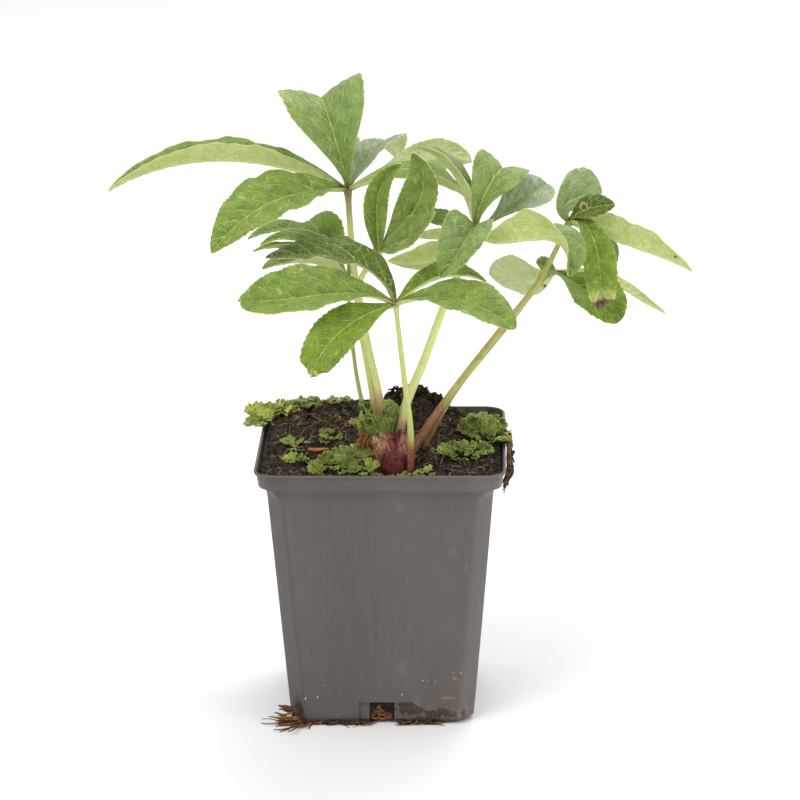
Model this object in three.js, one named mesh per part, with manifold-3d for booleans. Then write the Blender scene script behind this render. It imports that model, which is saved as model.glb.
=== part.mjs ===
// A young hellebore in a square nursery pot: pot, root ball, liverwort, crown, leaf stalks and
// divided leaves. Millimetres, +Z up, origin at the centre of the pot's base, -Y is the front.
import * as THREE from 'three';
import { mergeVertices } from 'three/addons/utils/BufferGeometryUtils.js';
import Module from 'manifold-3d';

const wasm = await Module();
wasm.setup();

// Driving dimensions.
const GAP = 0.3;

const POT = {
  height: 98,
  rimHalf: 45,
  rimTaper: 0.5,
  rimBand: 6.4,
  rimRadius: 8,
  lip: 1.3,
  bodyHalfTop: 40,
  bodyHalfBase: 32.5,
  chamfer: 4.8,
  wall: 1.1,
  floor: 1.4,
  cornerSteps: 4,
  drain: { width: 8.5, panelWidth: 19, height: 6.2, recess: 0.5, baseHole: 6 },
  groove: { width: 7, depth: 0.7, from: 14 },
};

const SOIL = {
  frontHeight: 94.8,
  rise: 6.5,
  riseFrom: -26,
  riseTo: 32,
  heaps: [
    { x: 11, y: 22, width: 13, depth: 11, height: 9 },
    { x: 13, y: -13, width: 6.5, depth: 7, height: 4.5 },
    { x: 4, y: -29, width: 7, depth: 8, height: -4 },
  ],
  hollow: { x: 14, y: 20, run: 16, depth: 8 },
  edgeHeight: 95.8,
  edgeSlope: 1.1,
  grid: 25,
  headroom: 30,
};

const BLADE = {
  thickness: 0.72,
  columns: 5,
  rowSpacing: 12,
  fewestRows: 7,
  mostRows: 11,
  baseHalf: 0.9,
  tipHalf: 0.35,
  hub: 1.7,
  tooth: 0.05,
};

const STALK_SIDES = 7;

const FINE_STEPS = 160;

// A leaflet runs from its leaf's hub through the three points of `to`; `face` is the way its
// upper side looks, `half` its half width, `fold` the angle to which each half is raised at the
// base, middle and tip, `peak` where it is widest and `twist` its turn at the base and the tip.
const leaflet = (to, face, half, fold, peak = 0.6, twist = [0, 0]) => ({
  to, face, half, fold, peak, twist,
});

const LEAVES = {
  tall: {
    hub: [-12, 4, 191],
    stalk: {
      path: [[-0.8, -14.5, 99], [-3, -12.6, 119], [-7, -6, 141], [-10.5, 2, 169]],
      radius: [1.6, 1.15],
    },
    leaflets: [
      leaflet(
        [[-15.5, 0, 208], [-20, 5, 222.5], [-20, 24, 214]],
        [0.08, -0.8, 0.6], 16, [42, 26, 15], 0.64,
      ),
      leaflet([[-42, 2, 201], [-66, -2, 202.5], [-97, -8, 193]], [0, 0, 1], 8.6, [40, 58, 50], 0.48),
      leaflet(
        [[-28, -12, 193], [-43, -28, 190.5], [-58, -40, 178]],
        [-0.1, -0.5, 0.85], 12.5, [35, 18, 10], 0.5,
      ),
      leaflet([[-6, 13, 199], [1, 24, 203], [8, 38, 198]], [-0.5, -0.6, 0.6], 9.5, [30, 15, 10]),
      leaflet([[1, 10, 194], [18, 14, 197], [35, 16, 193]], [-0.1, 0.6, 0.8], 12, [30, 25, 10], 0.72),
      leaflet([[1, 0, 196.3], [18, 0, 194.8], [33, 1, 187.4]], [0, 0, 1], 9, [32, 32, 20]),
      leaflet([[-14, 22, 197], [-16, 40, 200], [-19, 58, 197]], [0, -0.3, 0.9], 7, [35, 25, 10]),
    ],
  },
  front: {
    hub: [6, -38, 159],
    stalk: { path: [[12, -25, 89], [10.3, -28, 110], [8.4, -33, 134]], radius: [1.25, 0.85] },
    leaflets: [
      leaflet([[-1, -34, 169], [-18, -30, 174.5], [-40, -28, 174]], [0, 0, 1], 10, [30, 18, 8]),
      leaflet([[-10, -46, 165], [-27, -52, 165], [-48, -52, 164]], [0, -0.5, 0.85], 12, [35, 27, 15]),
      leaflet([[-4.5, -50, 158], [-15, -60, 152.5], [-22.5, -66, 141]], [0.1, -0.6, 0.8], 8, [30, 18, 8]),
      leaflet([[20, -48, 164], [35, -56, 163], [48, -60, 156]], [0.1, -0.4, 0.9], 9.5, [30, 20, 12]),
      leaflet([[14, -32, 164], [25, -28, 167], [38, -26, 164]], [0, -0.1, 1], 7.5, [35, 25, 12]),
    ],
  },
  back: {
    hub: [-13, 18, 154],
    stalk: { path: [[-1, -9, 95], [-5.6, -8, 109], [-8.6, -3, 120], [-11, 6, 134]], radius: [0.9, 0.7] },
    leaflets: [
      leaflet([[-18, 17, 163], [-24, 19, 172.5], [-27, 27, 174]], [0, -1, 0.4], 8.8, [30, 8, 5], 0.65),
      leaflet([[-22, 14, 169], [-33, 8, 175], [-48, 2, 173]], [0, -0.1, 1], 6, [35, 25, 12]),
      leaflet([[-23, 22, 164], [-34, 24, 168], [-45, 24, 165]], [0, -0.1, 1], 5, [35, 25, 12]),
      leaflet([[-22, 10, 164], [-34, 2, 170], [-46, -4, 170]], [0, 0.1, 1], 5, [35, 25, 12]),
      leaflet([[-21, 8, 162], [-31, -4, 166], [-42, -14, 166]], [0, 0.1, 1], 7, [35, 25, 12]),
      leaflet([[-10, 30, 158], [-8, 44, 157], [-9, 62, 153]], [0, 0, 1], 8, [35, 25, 12]),
    ],
  },
  middle: {
    hub: [35, -10, 178],
    stalk: {
      path: [[5.5, -19.5, 97], [8.4, -18, 114.6], [15.7, -16, 133], [24, -13, 155]],
      radius: [1.9, 1.3],
    },
    leaflets: [
      leaflet([[36, -12, 190], [41, -6, 198.5], [43, 10, 195]], [-0.1, -0.9, 0.4], 9.5, [45, 24, 15]),
      leaflet([[44, -6, 185], [54, 0, 190], [62, 6, 192]], [-0.3, -0.8, 0.6], 8, [35, 20, 10], 0.66),
      leaflet([[31, -8, 190], [24, -6, 202], [11, -4, 208.5]], [0.3, 0, 1], 5, [45, 40, 30], 0.5),
      leaflet(
        [[48, -18, 177], [62, -22, 178], [67, -26, 166]],
        [0, 0.6, 0.8], 12, [35, 35, 30], 0.65, [0, 60],
      ),
      leaflet([[33, -24, 183], [30, -38, 181], [22, -46, 171]], [0.1, -0.5, 0.85], 10, [35, 25, 15]),
      leaflet([[28, -11, 181.5], [22, -10, 183], [13, -7, 185]], [0, -0.6, 0.8], 3.5, [30, 20, 10]),
      leaflet([[28, -4, 176], [21, 0, 174], [13, 6, 173]], [0, 0.3, 1], 5, [30, 30, 30]),
      leaflet([[28, 0, 170], [16, 8, 163], [2, 14, 162]], [0, 0.8, 0.6], 7, [30, 20, 10]),
    ],
  },
  right: {
    hub: [68, 8, 178],
    stalk: {
      path: [[10, -17, 97.5], [18.8, -16.3, 111], [27.4, -13, 122.4], [43.4, -5.5, 141.5], [57.2, 1.5, 158]],
      radius: [1.6, 0.95],
    },
    leaflets: [
      leaflet([[65, 8, 183], [66, 11, 186.5], [73, 21, 185]], [-0.2, -1, 0.4], 9, [35, 14, 8]),
      leaflet([[72, 4, 182.5], [76, 0, 185], [84, -2, 186.5]], [0, -0.8, 0.5], 4.4, [35, 30, 12]),
      leaflet([[82, 4, 173], [98, 0, 168], [112, -2, 162]], [0, 0.5, 0.9], 11, [35, 35, 25], 0.4),
      leaflet([[75, -4, 177], [78, -12, 168], [79.5, -14, 152]], [0.1, -1, 0.3], 6.2, [35, 30, 20]),
      leaflet([[77, 7, 176], [81.5, 5, 169], [80.5, 3, 156]], [0.9, -0.3, 0.3], 5, [35, 25, 12]),
    ],
  },
  inner: {
    hub: [-1, -10, 170],
    stalk: {
      path: [[2.6, -17.6, 99], [-0.9, -15.7, 121], [-5.6, -12.4, 143], [-7.4, -10, 160]],
      radius: [1.4, 1.1],
    },
    leaflets: [
      leaflet([[-1, -12, 184], [0, -12, 194], [8, -14, 204]], [-0.2, -1, 0.1], 4.8, [40, 35, 30], 0.5),
      leaflet([[9, -13, 182], [15, -14, 193.5], [12, -20, 209.5]], [-0.2, -1, 0.2], 7, [35, 25, 20], 0.55),
      leaflet([[6, -20, 176.5], [13, -28, 182], [20, -32, 191]], [0, -0.7, 0.7], 8, [35, 20, 10]),
    ],
  },
  low: {
    hub: [63, 14, 158],
    stalk: {
      path: [[13.6, -13, 95.5], [20.4, -12.3, 109], [27.8, -9, 120.7], [44.2, -1, 139.6], [58.2, 8, 155.8]],
      radius: [1.55, 0.85],
    },
    leaflets: [
      leaflet([[56, 20, 154], [47, 26, 153], [39, 30, 153]], [0, 0.9, 0.4], 9.5, [10, 5, 5]),
      leaflet([[70, 8, 155], [78, 2, 150], [85, -4, 143]], [0, -0.4, 0.9], 10.5, [35, 25, 12]),
      leaflet([[78, 20, 155.5], [91, 26, 147.5], [104, 30, 138]], [0, 0.6, 0.8], 2.3, [20, 20, 12]),
      leaflet([[61, 10, 160], [58, 6, 162], [56, 2, 164.5]], [0, -0.8, 0.5], 3.2, [35, 25, 12]),
    ],
  },
};

// Buds and stalk bases of the crown: a tapered cone from `from` to `to` each.
const CROWN = [
  { from: [5, -20.5, 84], to: [4.6, -21.2, 93.5], radius: [6, 6.6] },
  { from: [5.5, -20.5, 86], to: [1, -17, 104], radius: [4.6, 4.1] },
  { from: [6, -21, 86], to: [6.6, -19.3, 103], radius: [4.2, 2.4] },
  { from: [8, -20, 86], to: [10, -18, 94], radius: [4, 3] },
  { from: [11, -24.5, 85], to: [10.9, -27, 101], radius: [2.6, 1.8] },
];

// Liverwort thalli: centre, half sizes along x and y, lift over the soil, lobes and edge ruffle.
const LIVERWORT = [
  { at: [-39, 26], half: [11.5, 10], lift: 1.1, lobes: 8, ruffle: 1.1 },
  { at: [-18.5, 31], half: [9, 4.5], lift: 1.1, lobes: 7, ruffle: 0.7 },
  { at: [-31.5, -9], half: [5, 5.5], lift: 0.9, lobes: 6, ruffle: 0.8 },
  { at: [-19, -4], half: [4, 5], lift: 0.9, lobes: 5, ruffle: 0.8 },
  { at: [-32.5, -23], half: [5, 4.5], lift: 1.2, lobes: 6, ruffle: 0.8 },
  { at: [-14.5, -22.5], half: [9.8, 6.8], lift: 1.0, lobes: 8, ruffle: 1.0 },
  { at: [-3.5, -33.5], half: [5.5, 3.5], lift: 0.9, lobes: 6, ruffle: 0.8 },
  { at: [16, -32.5], half: [4.5, 3.5], lift: 0.9, lobes: 5, ruffle: 0.8 },
  { at: [30, -15], half: [11, 6.5], lift: 1.2, lobes: 8, ruffle: 1.1 },
  { at: [38, 15], half: [8.5, 13], lift: 1.8, lobes: 8, ruffle: 1.3 },
];

// A ring sector round `axis`, from and to in degrees; `bottom` and `top` are radius and height.
const COLLAR = {
  axis: [-0.5, -15.5],
  from: 200,
  to: 375,
  bottom: [5.6, 104.5],
  top: [8.6, 115.5],
  thickness: 0.9,
  columns: 19,
  rows: 3,
};

const STICK = { at: [-23, -13], length: 7.5, radius: 0.8 };

const ROOT_KNOT = [-31.6, -31.6, 1.6];

const ROOT_KNOT_RADIUS = 1.5;

const FLOOR_GAP = 0.05;

// Strands of the root tuft, lying on the ground outside the pot's corner.
const ROOTS = [
  { path: [ROOT_KNOT, [-38, -31, 2.6], [-46, -32, 1.2]], radius: [1.0, 0.35] },
  { path: [ROOT_KNOT, [-36.5, -27, 3.2], [-43, -26, 4]], radius: [0.8, 0.35] },
  { path: [ROOT_KNOT, [-35.5, -24, 4], [-39, -19.5, 6.2]], radius: [0.8, 0.35] },
  { path: [ROOT_KNOT, [-35.5, -36, 1.4], [-39, -43, 0.6]], radius: [0.8, 0.35] },
  { path: [ROOT_KNOT, [-33, -37, 1.3], [-35, -46, 0.6]], radius: [0.8, 0.35] },
  { path: [ROOT_KNOT, [-27, -34.4, 1.4], [-17, -34.3, 1.2]], radius: [1.2, 0.6] },
];

// A strand of the root ball that hangs out over the rim.
const SPILL = {
  path: [[42.2, -12, 97.5], [44.6, -15, 99.6], [46.9, -19, 97], [46.7, -25, 92]],
  radius: [1.2, 0.9],
};

// Solids and meshes.

function toSolid(geometry) {
  const bare = geometry.clone();
  bare.deleteAttribute('normal');
  bare.deleteAttribute('uv');
  const merged = mergeVertices(bare, 1e-4);
  const mesh = new wasm.Mesh({
    numProp: 3,
    vertProperties: new Float32Array(merged.attributes.position.array),
    triVerts: new Uint32Array(merged.index.array),
  });
  return new wasm.Manifold(mesh);
}

function toGeometry(solid) {
  const mesh = solid.getMesh();
  const geometry = new THREE.BufferGeometry();
  geometry.setAttribute('position', new THREE.Float32BufferAttribute(mesh.vertProperties, 3));
  geometry.setIndex(new THREE.BufferAttribute(new Uint32Array(mesh.triVerts), 1));
  geometry.computeVertexNormals();
  return geometry;
}

function indexed(points, triangles) {
  const geometry = new THREE.BufferGeometry();
  const numbers = points.flatMap((p) => p.toArray());
  geometry.setAttribute('position', new THREE.Float32BufferAttribute(numbers, 3));
  geometry.setIndex(triangles.flat());
  return geometry;
}

const unite = (solids) => solids.reduce((whole, next) => whole.add(next));

const cut = (solid, tools) => tools.reduce((rest, tool) => rest.subtract(tool), solid);

// The largest body of a solid, so that a cut leaves no scraps.
function mainBody(solid) {
  const bodies = solid.decompose();
  return bodies.reduce((best, body) => (body.volume() > best.volume() ? body : best));
}

const vec = (p) => new THREE.Vector3(p[0], p[1], p[2]);

const mix = (a, b, t) => a + (b - a) * t;

const smooth = (t) => THREE.MathUtils.smoothstep(t, 0, 1);

// A closed skin over rings of equal length, each going round anticlockwise as seen from the end.
function skin(rings) {
  const count = rings[0].length;
  const points = rings.flat();
  const triangles = [];
  for (let i = 0; i + 1 < rings.length; i += 1) {
    for (let j = 0; j < count; j += 1) {
      const k = (j + 1) % count;
      const [a, b, c, d] = [i * count + j, i * count + k, (i + 1) * count + k, (i + 1) * count + j];
      triangles.push([a, b, c], [a, c, d]);
    }
  }
  const last = (rings.length - 1) * count;
  const centre = (ring) => ring.reduce((sum, p) => sum.add(p), new THREE.Vector3()).divideScalar(count);
  points.push(centre(rings[0]), centre(rings[rings.length - 1]));
  for (let j = 0; j < count; j += 1) {
    const k = (j + 1) % count;
    triangles.push([points.length - 2, k, j], [points.length - 1, last + j, last + k]);
  }
  return indexed(points, triangles);
}

// A tapered tube along a smooth curve, grown by `extra` all over.
function tube(path, radius, { sides = STALK_SIDES, steps = 8, extra = 0 } = {}) {
  const curve = new THREE.CatmullRomCurve3(path.map(vec), false, 'centripetal');
  const frames = curve.computeFrenetFrames(steps, false);
  const rings = [];
  for (let i = 0; i <= steps; i += 1) {
    const centre = curve.getPointAt(i / steps);
    if (i === 0) centre.addScaledVector(frames.tangents[0], -extra);
    if (i === steps) centre.addScaledVector(frames.tangents[steps], extra);
    const size = mix(radius[0], radius[1], i / steps) + extra;
    rings.push(ringAround(centre, frames.normals[i], frames.binormals[i], size, sides));
  }
  return skin(rings);
}

function ringAround(centre, normal, binormal, size, sides) {
  return Array.from({ length: sides }, (_, j) => {
    const angle = (j / sides) * 2 * Math.PI;
    return centre.clone()
      .addScaledVector(normal, size * Math.cos(angle))
      .addScaledVector(binormal, size * Math.sin(angle));
  });
}

// A thin plate between two like faces; `edge` runs anticlockwise round the upper one.
function plate(top, bottom, faces, edge) {
  const shift = top.length;
  const triangles = [...faces];
  faces.forEach(([a, b, c]) => triangles.push([a + shift, c + shift, b + shift]));
  edge.forEach((a, i) => {
    const b = edge[(i + 1) % edge.length];
    triangles.push([a, a + shift, b + shift], [a, b + shift, b]);
  });
  return indexed([...top, ...bottom], triangles);
}

// Pot.

// One ring of the square pot: the corners are chamfers, or quarter circles if `round` is set.
function squareRing(half, corner, z, round) {
  const ring = [];
  for (let side = 0; side < 4; side += 1) {
    const turn = (side * Math.PI) / 2;
    for (let step = 0; step <= POT.cornerSteps; step += 1) {
      const t = step / POT.cornerSteps;
      const angle = (t * Math.PI) / 2;
      const x = half - corner + corner * (round ? Math.cos(angle) : 1 - t);
      const y = half - corner + corner * (round ? Math.sin(angle) : t);
      ring.push(new THREE.Vector3(
        x * Math.cos(turn) - y * Math.sin(turn),
        x * Math.sin(turn) + y * Math.cos(turn),
        z,
      ));
    }
  }
  return ring;
}

const bodyHalf = (z) => mix(POT.bodyHalfBase, POT.bodyHalfTop, z / (POT.height - POT.rimBand));

const bodyRing = (z, inset) => squareRing(bodyHalf(z) - inset, POT.chamfer - inset * 0.4, z, false);

const rimRing = (z, inset) => squareRing(POT.rimHalf - inset, POT.rimRadius - inset, z, true);

// Rings up the inside of the pot, kept `inset` from the outer faces.
function insideRings(inset, bottom, top) {
  const ledge = POT.height - POT.rimBand + inset;
  return [
    bodyRing(bottom, inset),
    bodyRing(ledge, inset),
    rimRing(ledge, inset + POT.rimTaper),
    rimRing(top, inset),
  ];
}

function makePot() {
  const ledge = POT.height - POT.rimBand;
  const outside = [bodyRing(0, 0), bodyRing(ledge, 0), rimRing(ledge, POT.rimTaper), rimRing(POT.height, 0)];
  const inside = insideRings(POT.wall, POT.floor, POT.height).reverse();
  return cut(toSolid(skin([...outside, ...inside])), [...drains(), ...grooves()]);
}

function boxSolid(size, centre, turn) {
  const geometry = new THREE.BoxGeometry(...size);
  geometry.translate(...centre);
  geometry.rotateZ(turn);
  return toSolid(geometry);
}

// A slot and a shallow recessed panel at the foot of each side, and holes in the base.
function drains() {
  const { width, panelWidth, height, recess, baseHole } = POT.drain;
  const face = POT.bodyHalfBase;
  const tools = [];
  for (let side = 0; side < 4; side += 1) {
    const turn = (side * Math.PI) / 2;
    tools.push(boxSolid([width, 4 * POT.wall, height], [0, -face, height / 2 + POT.floor], turn));
    tools.push(boxSolid([panelWidth, 2 * recess, height + 1], [0, -face, height / 2 + POT.floor], turn));
    tools.push(boxSolid([baseHole, baseHole, 4 * POT.floor], [0, -face / 2, 0], turn));
  }
  return tools;
}

// Shallow channels under the base, from near its middle out to the corners.
function grooves() {
  const { width, depth, from } = POT.groove;
  const length = 2 * POT.bodyHalfBase;
  return [0, 1, 2, 3].map((side) => boxSolid(
    [width, length, 2 * depth],
    [0, from + length / 2, 0],
    Math.PI / 4 + (side * Math.PI) / 2,
  ));
}

// Soil.

function soilHeight(x, y) {
  const { heaps, hollow } = SOIL;
  const back = SOIL.rise * smooth((y - SOIL.riseFrom) / (SOIL.riseTo - SOIL.riseFrom));
  const heaped = heaps.reduce((sum, heap) => (
    sum + heap.height * Math.exp(-(((x - heap.x) / heap.width) ** 2) - ((y - heap.y) / heap.depth) ** 2)
  ), 0);
  const sink = hollow.depth * smooth((x - hollow.x) / hollow.run) * smooth((y - hollow.y) / hollow.run);
  const crumbs = 0.55 * Math.sin(0.55 * x + 1.1) * Math.cos(0.47 * y) + 0.35 * Math.sin(0.93 * x + 0.71 * y);
  const edge = POT.rimHalf - POT.wall - Math.max(Math.abs(x), Math.abs(y));
  return Math.min(SOIL.frontHeight + back + heaped - sink + crumbs, SOIL.edgeHeight + SOIL.edgeSlope * edge);
}

function makeSoil(tools) {
  const size = SOIL.grid;
  const half = POT.rimHalf;
  const place = (i) => -half + (2 * half * i) / size;
  const top = [];
  const bottom = [];
  for (let j = 0; j <= size; j += 1) {
    for (let i = 0; i <= size; i += 1) {
      top.push(new THREE.Vector3(place(i), place(j), soilHeight(place(i), place(j))));
      bottom.push(new THREE.Vector3(place(i), place(j), 0));
    }
  }
  const block = toSolid(plate(top, bottom, gridFaces(size + 1, size + 1), gridEdge(size + 1, size + 1)));
  const inside = toSolid(skin(insideRings(POT.wall + GAP, POT.floor + GAP, POT.height + SOIL.headroom)));
  return mainBody(cut(block.intersect(inside), tools));
}

// Triangles of a grid stored row after row, and the walk round its edge.
function gridFaces(columns, rows) {
  const faces = [];
  for (let j = 0; j + 1 < rows; j += 1) {
    for (let i = 0; i + 1 < columns; i += 1) {
      const a = j * columns + i;
      const [b, c, d] = [a + 1, a + columns + 1, a + columns];
      faces.push([a, b, c], [a, c, d]);
    }
  }
  return faces;
}

function gridEdge(columns, rows) {
  const edge = [];
  for (let i = 0; i < columns - 1; i += 1) edge.push(i);
  for (let j = 0; j < rows - 1; j += 1) edge.push(j * columns + columns - 1);
  for (let i = columns - 1; i > 0; i -= 1) edge.push((rows - 1) * columns + i);
  for (let j = rows - 1; j > 0; j -= 1) edge.push(j * columns);
  return edge;
}

// Leaves.

// Points at even steps along the cubic through the hub and the three points of a leaflet; their
// number is odd, and grows with the leaflet.
function midrib(points) {
  const knots = [0];
  points.slice(1).forEach((p, i) => knots.push(knots[i] + p.distanceTo(points[i])));
  const weight = (k, t) => knots.reduce((product, knot, j) => (
    j === k ? product : (product * (t - knot)) / (knots[k] - knot)
  ), 1);
  const at = (t) => points.reduce((sum, p, k) => sum.addScaledVector(p, weight(k, t)), new THREE.Vector3());
  const fine = Array.from({ length: FINE_STEPS + 1 }, (_, i) => at((knots[3] * i) / FINE_STEPS));
  const rows = 2 * Math.round(knots[3] / BLADE.rowSpacing) + 3;
  return evenly(fine, THREE.MathUtils.clamp(rows, BLADE.fewestRows, BLADE.mostRows));
}

function evenly(line, count) {
  const run = [0];
  line.slice(1).forEach((p, i) => run.push(run[i] + p.distanceTo(line[i])));
  let k = 0;
  return Array.from({ length: count }, (_, i) => {
    const goal = (run[run.length - 1] * i) / (count - 1);
    while (k + 2 < run.length && run[k + 1] < goal) k += 1;
    return line[k].clone().lerp(line[k + 1], (goal - run[k]) / (run[k + 1] - run[k]));
  });
}

function tangents(points) {
  return points.map((p, i) => {
    const next = points[Math.min(i + 1, points.length - 1)];
    return next.clone().sub(points[Math.max(i - 1, 0)]).normalize();
  });
}

// Upward directions along the midrib, carried from its middle without turning round it.
function uprights(along, face) {
  const middle = (along.length - 1) / 2;
  const square = (v, t) => v.clone().addScaledVector(t, -v.dot(t)).normalize();
  const up = [];
  up[middle] = square(vec(face), along[middle]);
  for (let i = middle + 1; i < along.length; i += 1) up[i] = square(up[i - 1], along[i]);
  for (let i = middle - 1; i >= 0; i -= 1) up[i] = square(up[i + 1], along[i]);
  return up;
}

// Half width at the fraction s: a slim base, widest at `peak` and a short point.
function halfWidth(s, half, peak) {
  const bent = s ** (Math.log(0.5) / Math.log(peak));
  const swell = Math.max(Math.sin(Math.PI * bent), 0) ** (s < peak ? 1.2 : 0.8);
  return half * swell + mix(BLADE.baseHalf, BLADE.tipHalf, s);
}

// A value given at the base, middle and tip, at the fraction s.
const along3 = (s, [base, middle, tip]) => (s < 0.5 ? mix(base, middle, 2 * s) : mix(middle, tip, 2 * s - 1));

function makeLeaflet(hub, { to, face, half, fold, peak, twist }) {
  const line = midrib([hub, ...to].map(vec));
  const rows = line.length;
  const along = tangents(line);
  const up = uprights(along, face);
  const top = [];
  const bottom = [];
  line.forEach((centre, i) => {
    const s = i / (rows - 1);
    const turn = THREE.MathUtils.degToRad(along3(s, [twist[0], 0, twist[1]]));
    const rise = THREE.MathUtils.degToRad(along3(s, fold));
    const normal = up[i].clone().applyAxisAngle(along[i], turn);
    const across = along[i].clone().cross(normal);
    const tooth = s > 0.35 && s < 0.95 ? 1 + BLADE.tooth * (i % 2 ? 1 : -1) : 1;
    const reach = halfWidth(s, half, peak) * tooth;
    for (let j = 0; j < BLADE.columns; j += 1) {
      const u = (2 * j) / (BLADE.columns - 1) - 1;
      const side = Math.sign(u);
      const point = centre.clone()
        .addScaledVector(across, u * reach * Math.cos(rise))
        .addScaledVector(normal, Math.abs(u) * reach * Math.sin(rise));
      const out = side === 0
        ? normal.clone().divideScalar(Math.cos(rise))
        : normal.clone().multiplyScalar(Math.cos(rise)).addScaledVector(across, -side * Math.sin(rise));
      top.push(point.clone().addScaledVector(out, BLADE.thickness / 2));
      bottom.push(point.clone().addScaledVector(out, -BLADE.thickness / 2));
    }
  });
  return toSolid(plate(top, bottom, gridFaces(BLADE.columns, rows), gridEdge(BLADE.columns, rows)));
}

function makeBlade({ hub, leaflets }, tools) {
  const knob = new THREE.SphereGeometry(BLADE.hub, 8, 6);
  knob.translate(...hub);
  const solids = [toSolid(knob), ...leaflets.map((shape) => makeLeaflet(hub, shape))];
  return mainBody(cut(unite(solids), tools));
}

// A leaf stalk ends just short of the knob that its leaflets grow from.
function makeStalk({ hub, stalk }, extra = 0) {
  const last = vec(stalk.path[stalk.path.length - 1]);
  const end = vec(hub);
  end.addScaledVector(last.sub(end).normalize(), BLADE.hub + GAP);
  return toSolid(tube([...stalk.path, end.toArray()], stalk.radius, { steps: 9, extra }));
}

// Crown and liverwort.

function makeCrown(extra = 0) {
  const cones = CROWN.map(({ from, to, radius }) => tube([from, to], radius, { sides: 9, steps: 1, extra }));
  return unite(cones.map(toSolid));
}

function makePatch({ at, half, lift, lobes, ruffle }, tools) {
  const steps = lobes * 4;
  const rings = [0.55, 1];
  const top = [];
  const addPoint = (radius, angle) => {
    const lobe = 1 + 0.13 * Math.cos(lobes * angle) + 0.08 * Math.sin(3 * angle + at[0]);
    const x = at[0] + half[0] * radius * lobe * Math.cos(angle);
    const y = at[1] + half[1] * radius * lobe * Math.sin(angle);
    const wave = ruffle * radius * radius * (0.5 + 0.5 * Math.cos(2 * lobes * angle + at[1]));
    top.push(new THREE.Vector3(x, y, clearHeight(x, y, lift) + wave));
  };
  addPoint(0, 0);
  rings.forEach((radius) => {
    for (let k = 0; k < steps; k += 1) addPoint(radius, (k / steps) * 2 * Math.PI);
  });
  const bottom = top.map((p) => p.clone().setZ(p.z - BLADE.thickness));
  const solid = toSolid(plate(top, bottom, discFaces(steps, rings.length), outerRing(steps, rings.length)));
  return mainBody(cut(solid, tools));
}

// The height of a thallus: over the soil, and over the rim where it hangs outwards.
function clearHeight(x, y, lift) {
  const limit = POT.rimHalf - POT.lip - 2;
  const soil = soilHeight(THREE.MathUtils.clamp(x, -limit, limit), THREE.MathUtils.clamp(y, -limit, limit));
  const outside = Math.max(Math.abs(x), Math.abs(y)) > limit - 2;
  return Math.max(soil + lift, outside ? POT.height + 0.5 : 0) + BLADE.thickness;
}

function discFaces(steps, rings) {
  const faces = [];
  for (let k = 0; k < steps; k += 1) {
    const next = (k + 1) % steps;
    faces.push([0, 1 + k, 1 + next]);
    for (let r = 0; r + 1 < rings; r += 1) {
      const [a, b] = [1 + r * steps + k, 1 + r * steps + next];
      faces.push([a, a + steps, b + steps], [a, b + steps, b]);
    }
  }
  return faces;
}

const outerRing = (steps, rings) => Array.from({ length: steps }, (_, k) => 1 + (rings - 1) * steps + k);

// An upright thallus wrapped round the foot of the two middle stalks.
function makeCollar(tools) {
  const { columns, rows } = COLLAR;
  const outer = [];
  const inner = [];
  for (let j = 0; j < rows; j += 1) {
    const t = j / (rows - 1);
    for (let i = 0; i < columns; i += 1) {
      const angle = THREE.MathUtils.degToRad(mix(COLLAR.from, COLLAR.to, i / (columns - 1)));
      const wave = t * Math.cos(angle * 11);
      const radius = mix(COLLAR.bottom[0], COLLAR.top[0], t) + 0.7 * wave;
      const z = mix(COLLAR.bottom[1], COLLAR.top[1], t) + 1.6 * t * Math.sin(angle * 7);
      const at = (r) => new THREE.Vector3(
        COLLAR.axis[0] + r * Math.cos(angle),
        COLLAR.axis[1] + r * Math.sin(angle),
        z,
      );
      outer.push(at(radius));
      inner.push(at(radius - COLLAR.thickness));
    }
  }
  const solid = toSolid(plate(outer, inner, gridFaces(columns, rows), gridEdge(columns, rows)));
  return mainBody(cut(solid, tools));
}

// Small pieces.

function makeStick() {
  const [x, y] = STICK.at;
  const z = soilHeight(x, y) + STICK.radius + 0.9;
  const from = [x - STICK.length / 2, y, z];
  const to = [x + STICK.length / 2, y + 0.6, z];
  return toSolid(tube([from, to], [STICK.radius, 0.7 * STICK.radius], { sides: 6, steps: 1 }));
}

function makeRoots(tools) {
  const strands = ROOTS.map(({ path, radius }) => toSolid(tube(path, radius, { sides: 5, steps: 4 })));
  const knot = new THREE.SphereGeometry(ROOT_KNOT_RADIUS, 8, 5);
  knot.translate(...ROOT_KNOT);
  const ground = boxSolid([3 * POT.rimHalf, 3 * POT.rimHalf, 10], [0, 0, FLOOR_GAP - 5], 0);
  return mainBody(cut(unite([toSolid(knot), ...strands]), [ground, ...tools]));
}

function makeSpill(tools) {
  const strand = toSolid(tube(SPILL.path, SPILL.radius, { sides: 6, steps: 6 }));
  return mainBody(cut(strand, tools));
}

// The outer shape of the pot, grown by the gap, to keep loose pieces off its walls.
function potClearance() {
  const rings = [bodyRing(-1, -GAP), bodyRing(POT.height - POT.rimBand - GAP, -GAP)];
  rings.push(rimRing(POT.height - POT.rimBand - GAP, -GAP), rimRing(POT.height + GAP, -GAP));
  return toSolid(skin(rings));
}

// Materials and assembly.

const LOOK = {
  plastic: { color: 0x625c57, roughness: 0.55 },
  peat: { color: 0x2a1f19, roughness: 1 },
  leaf: { color: 0x5c8a34, roughness: 0.5 },
  stalk: { color: 0xb9c468, roughness: 0.5 },
  bud: { color: 0x8a3b3d, roughness: 0.6 },
  thallus: { color: 0x6f9440, roughness: 0.6 },
  root: { color: 0x8a5a2b, roughness: 0.9 },
};

const plant = new THREE.Group();

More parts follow.
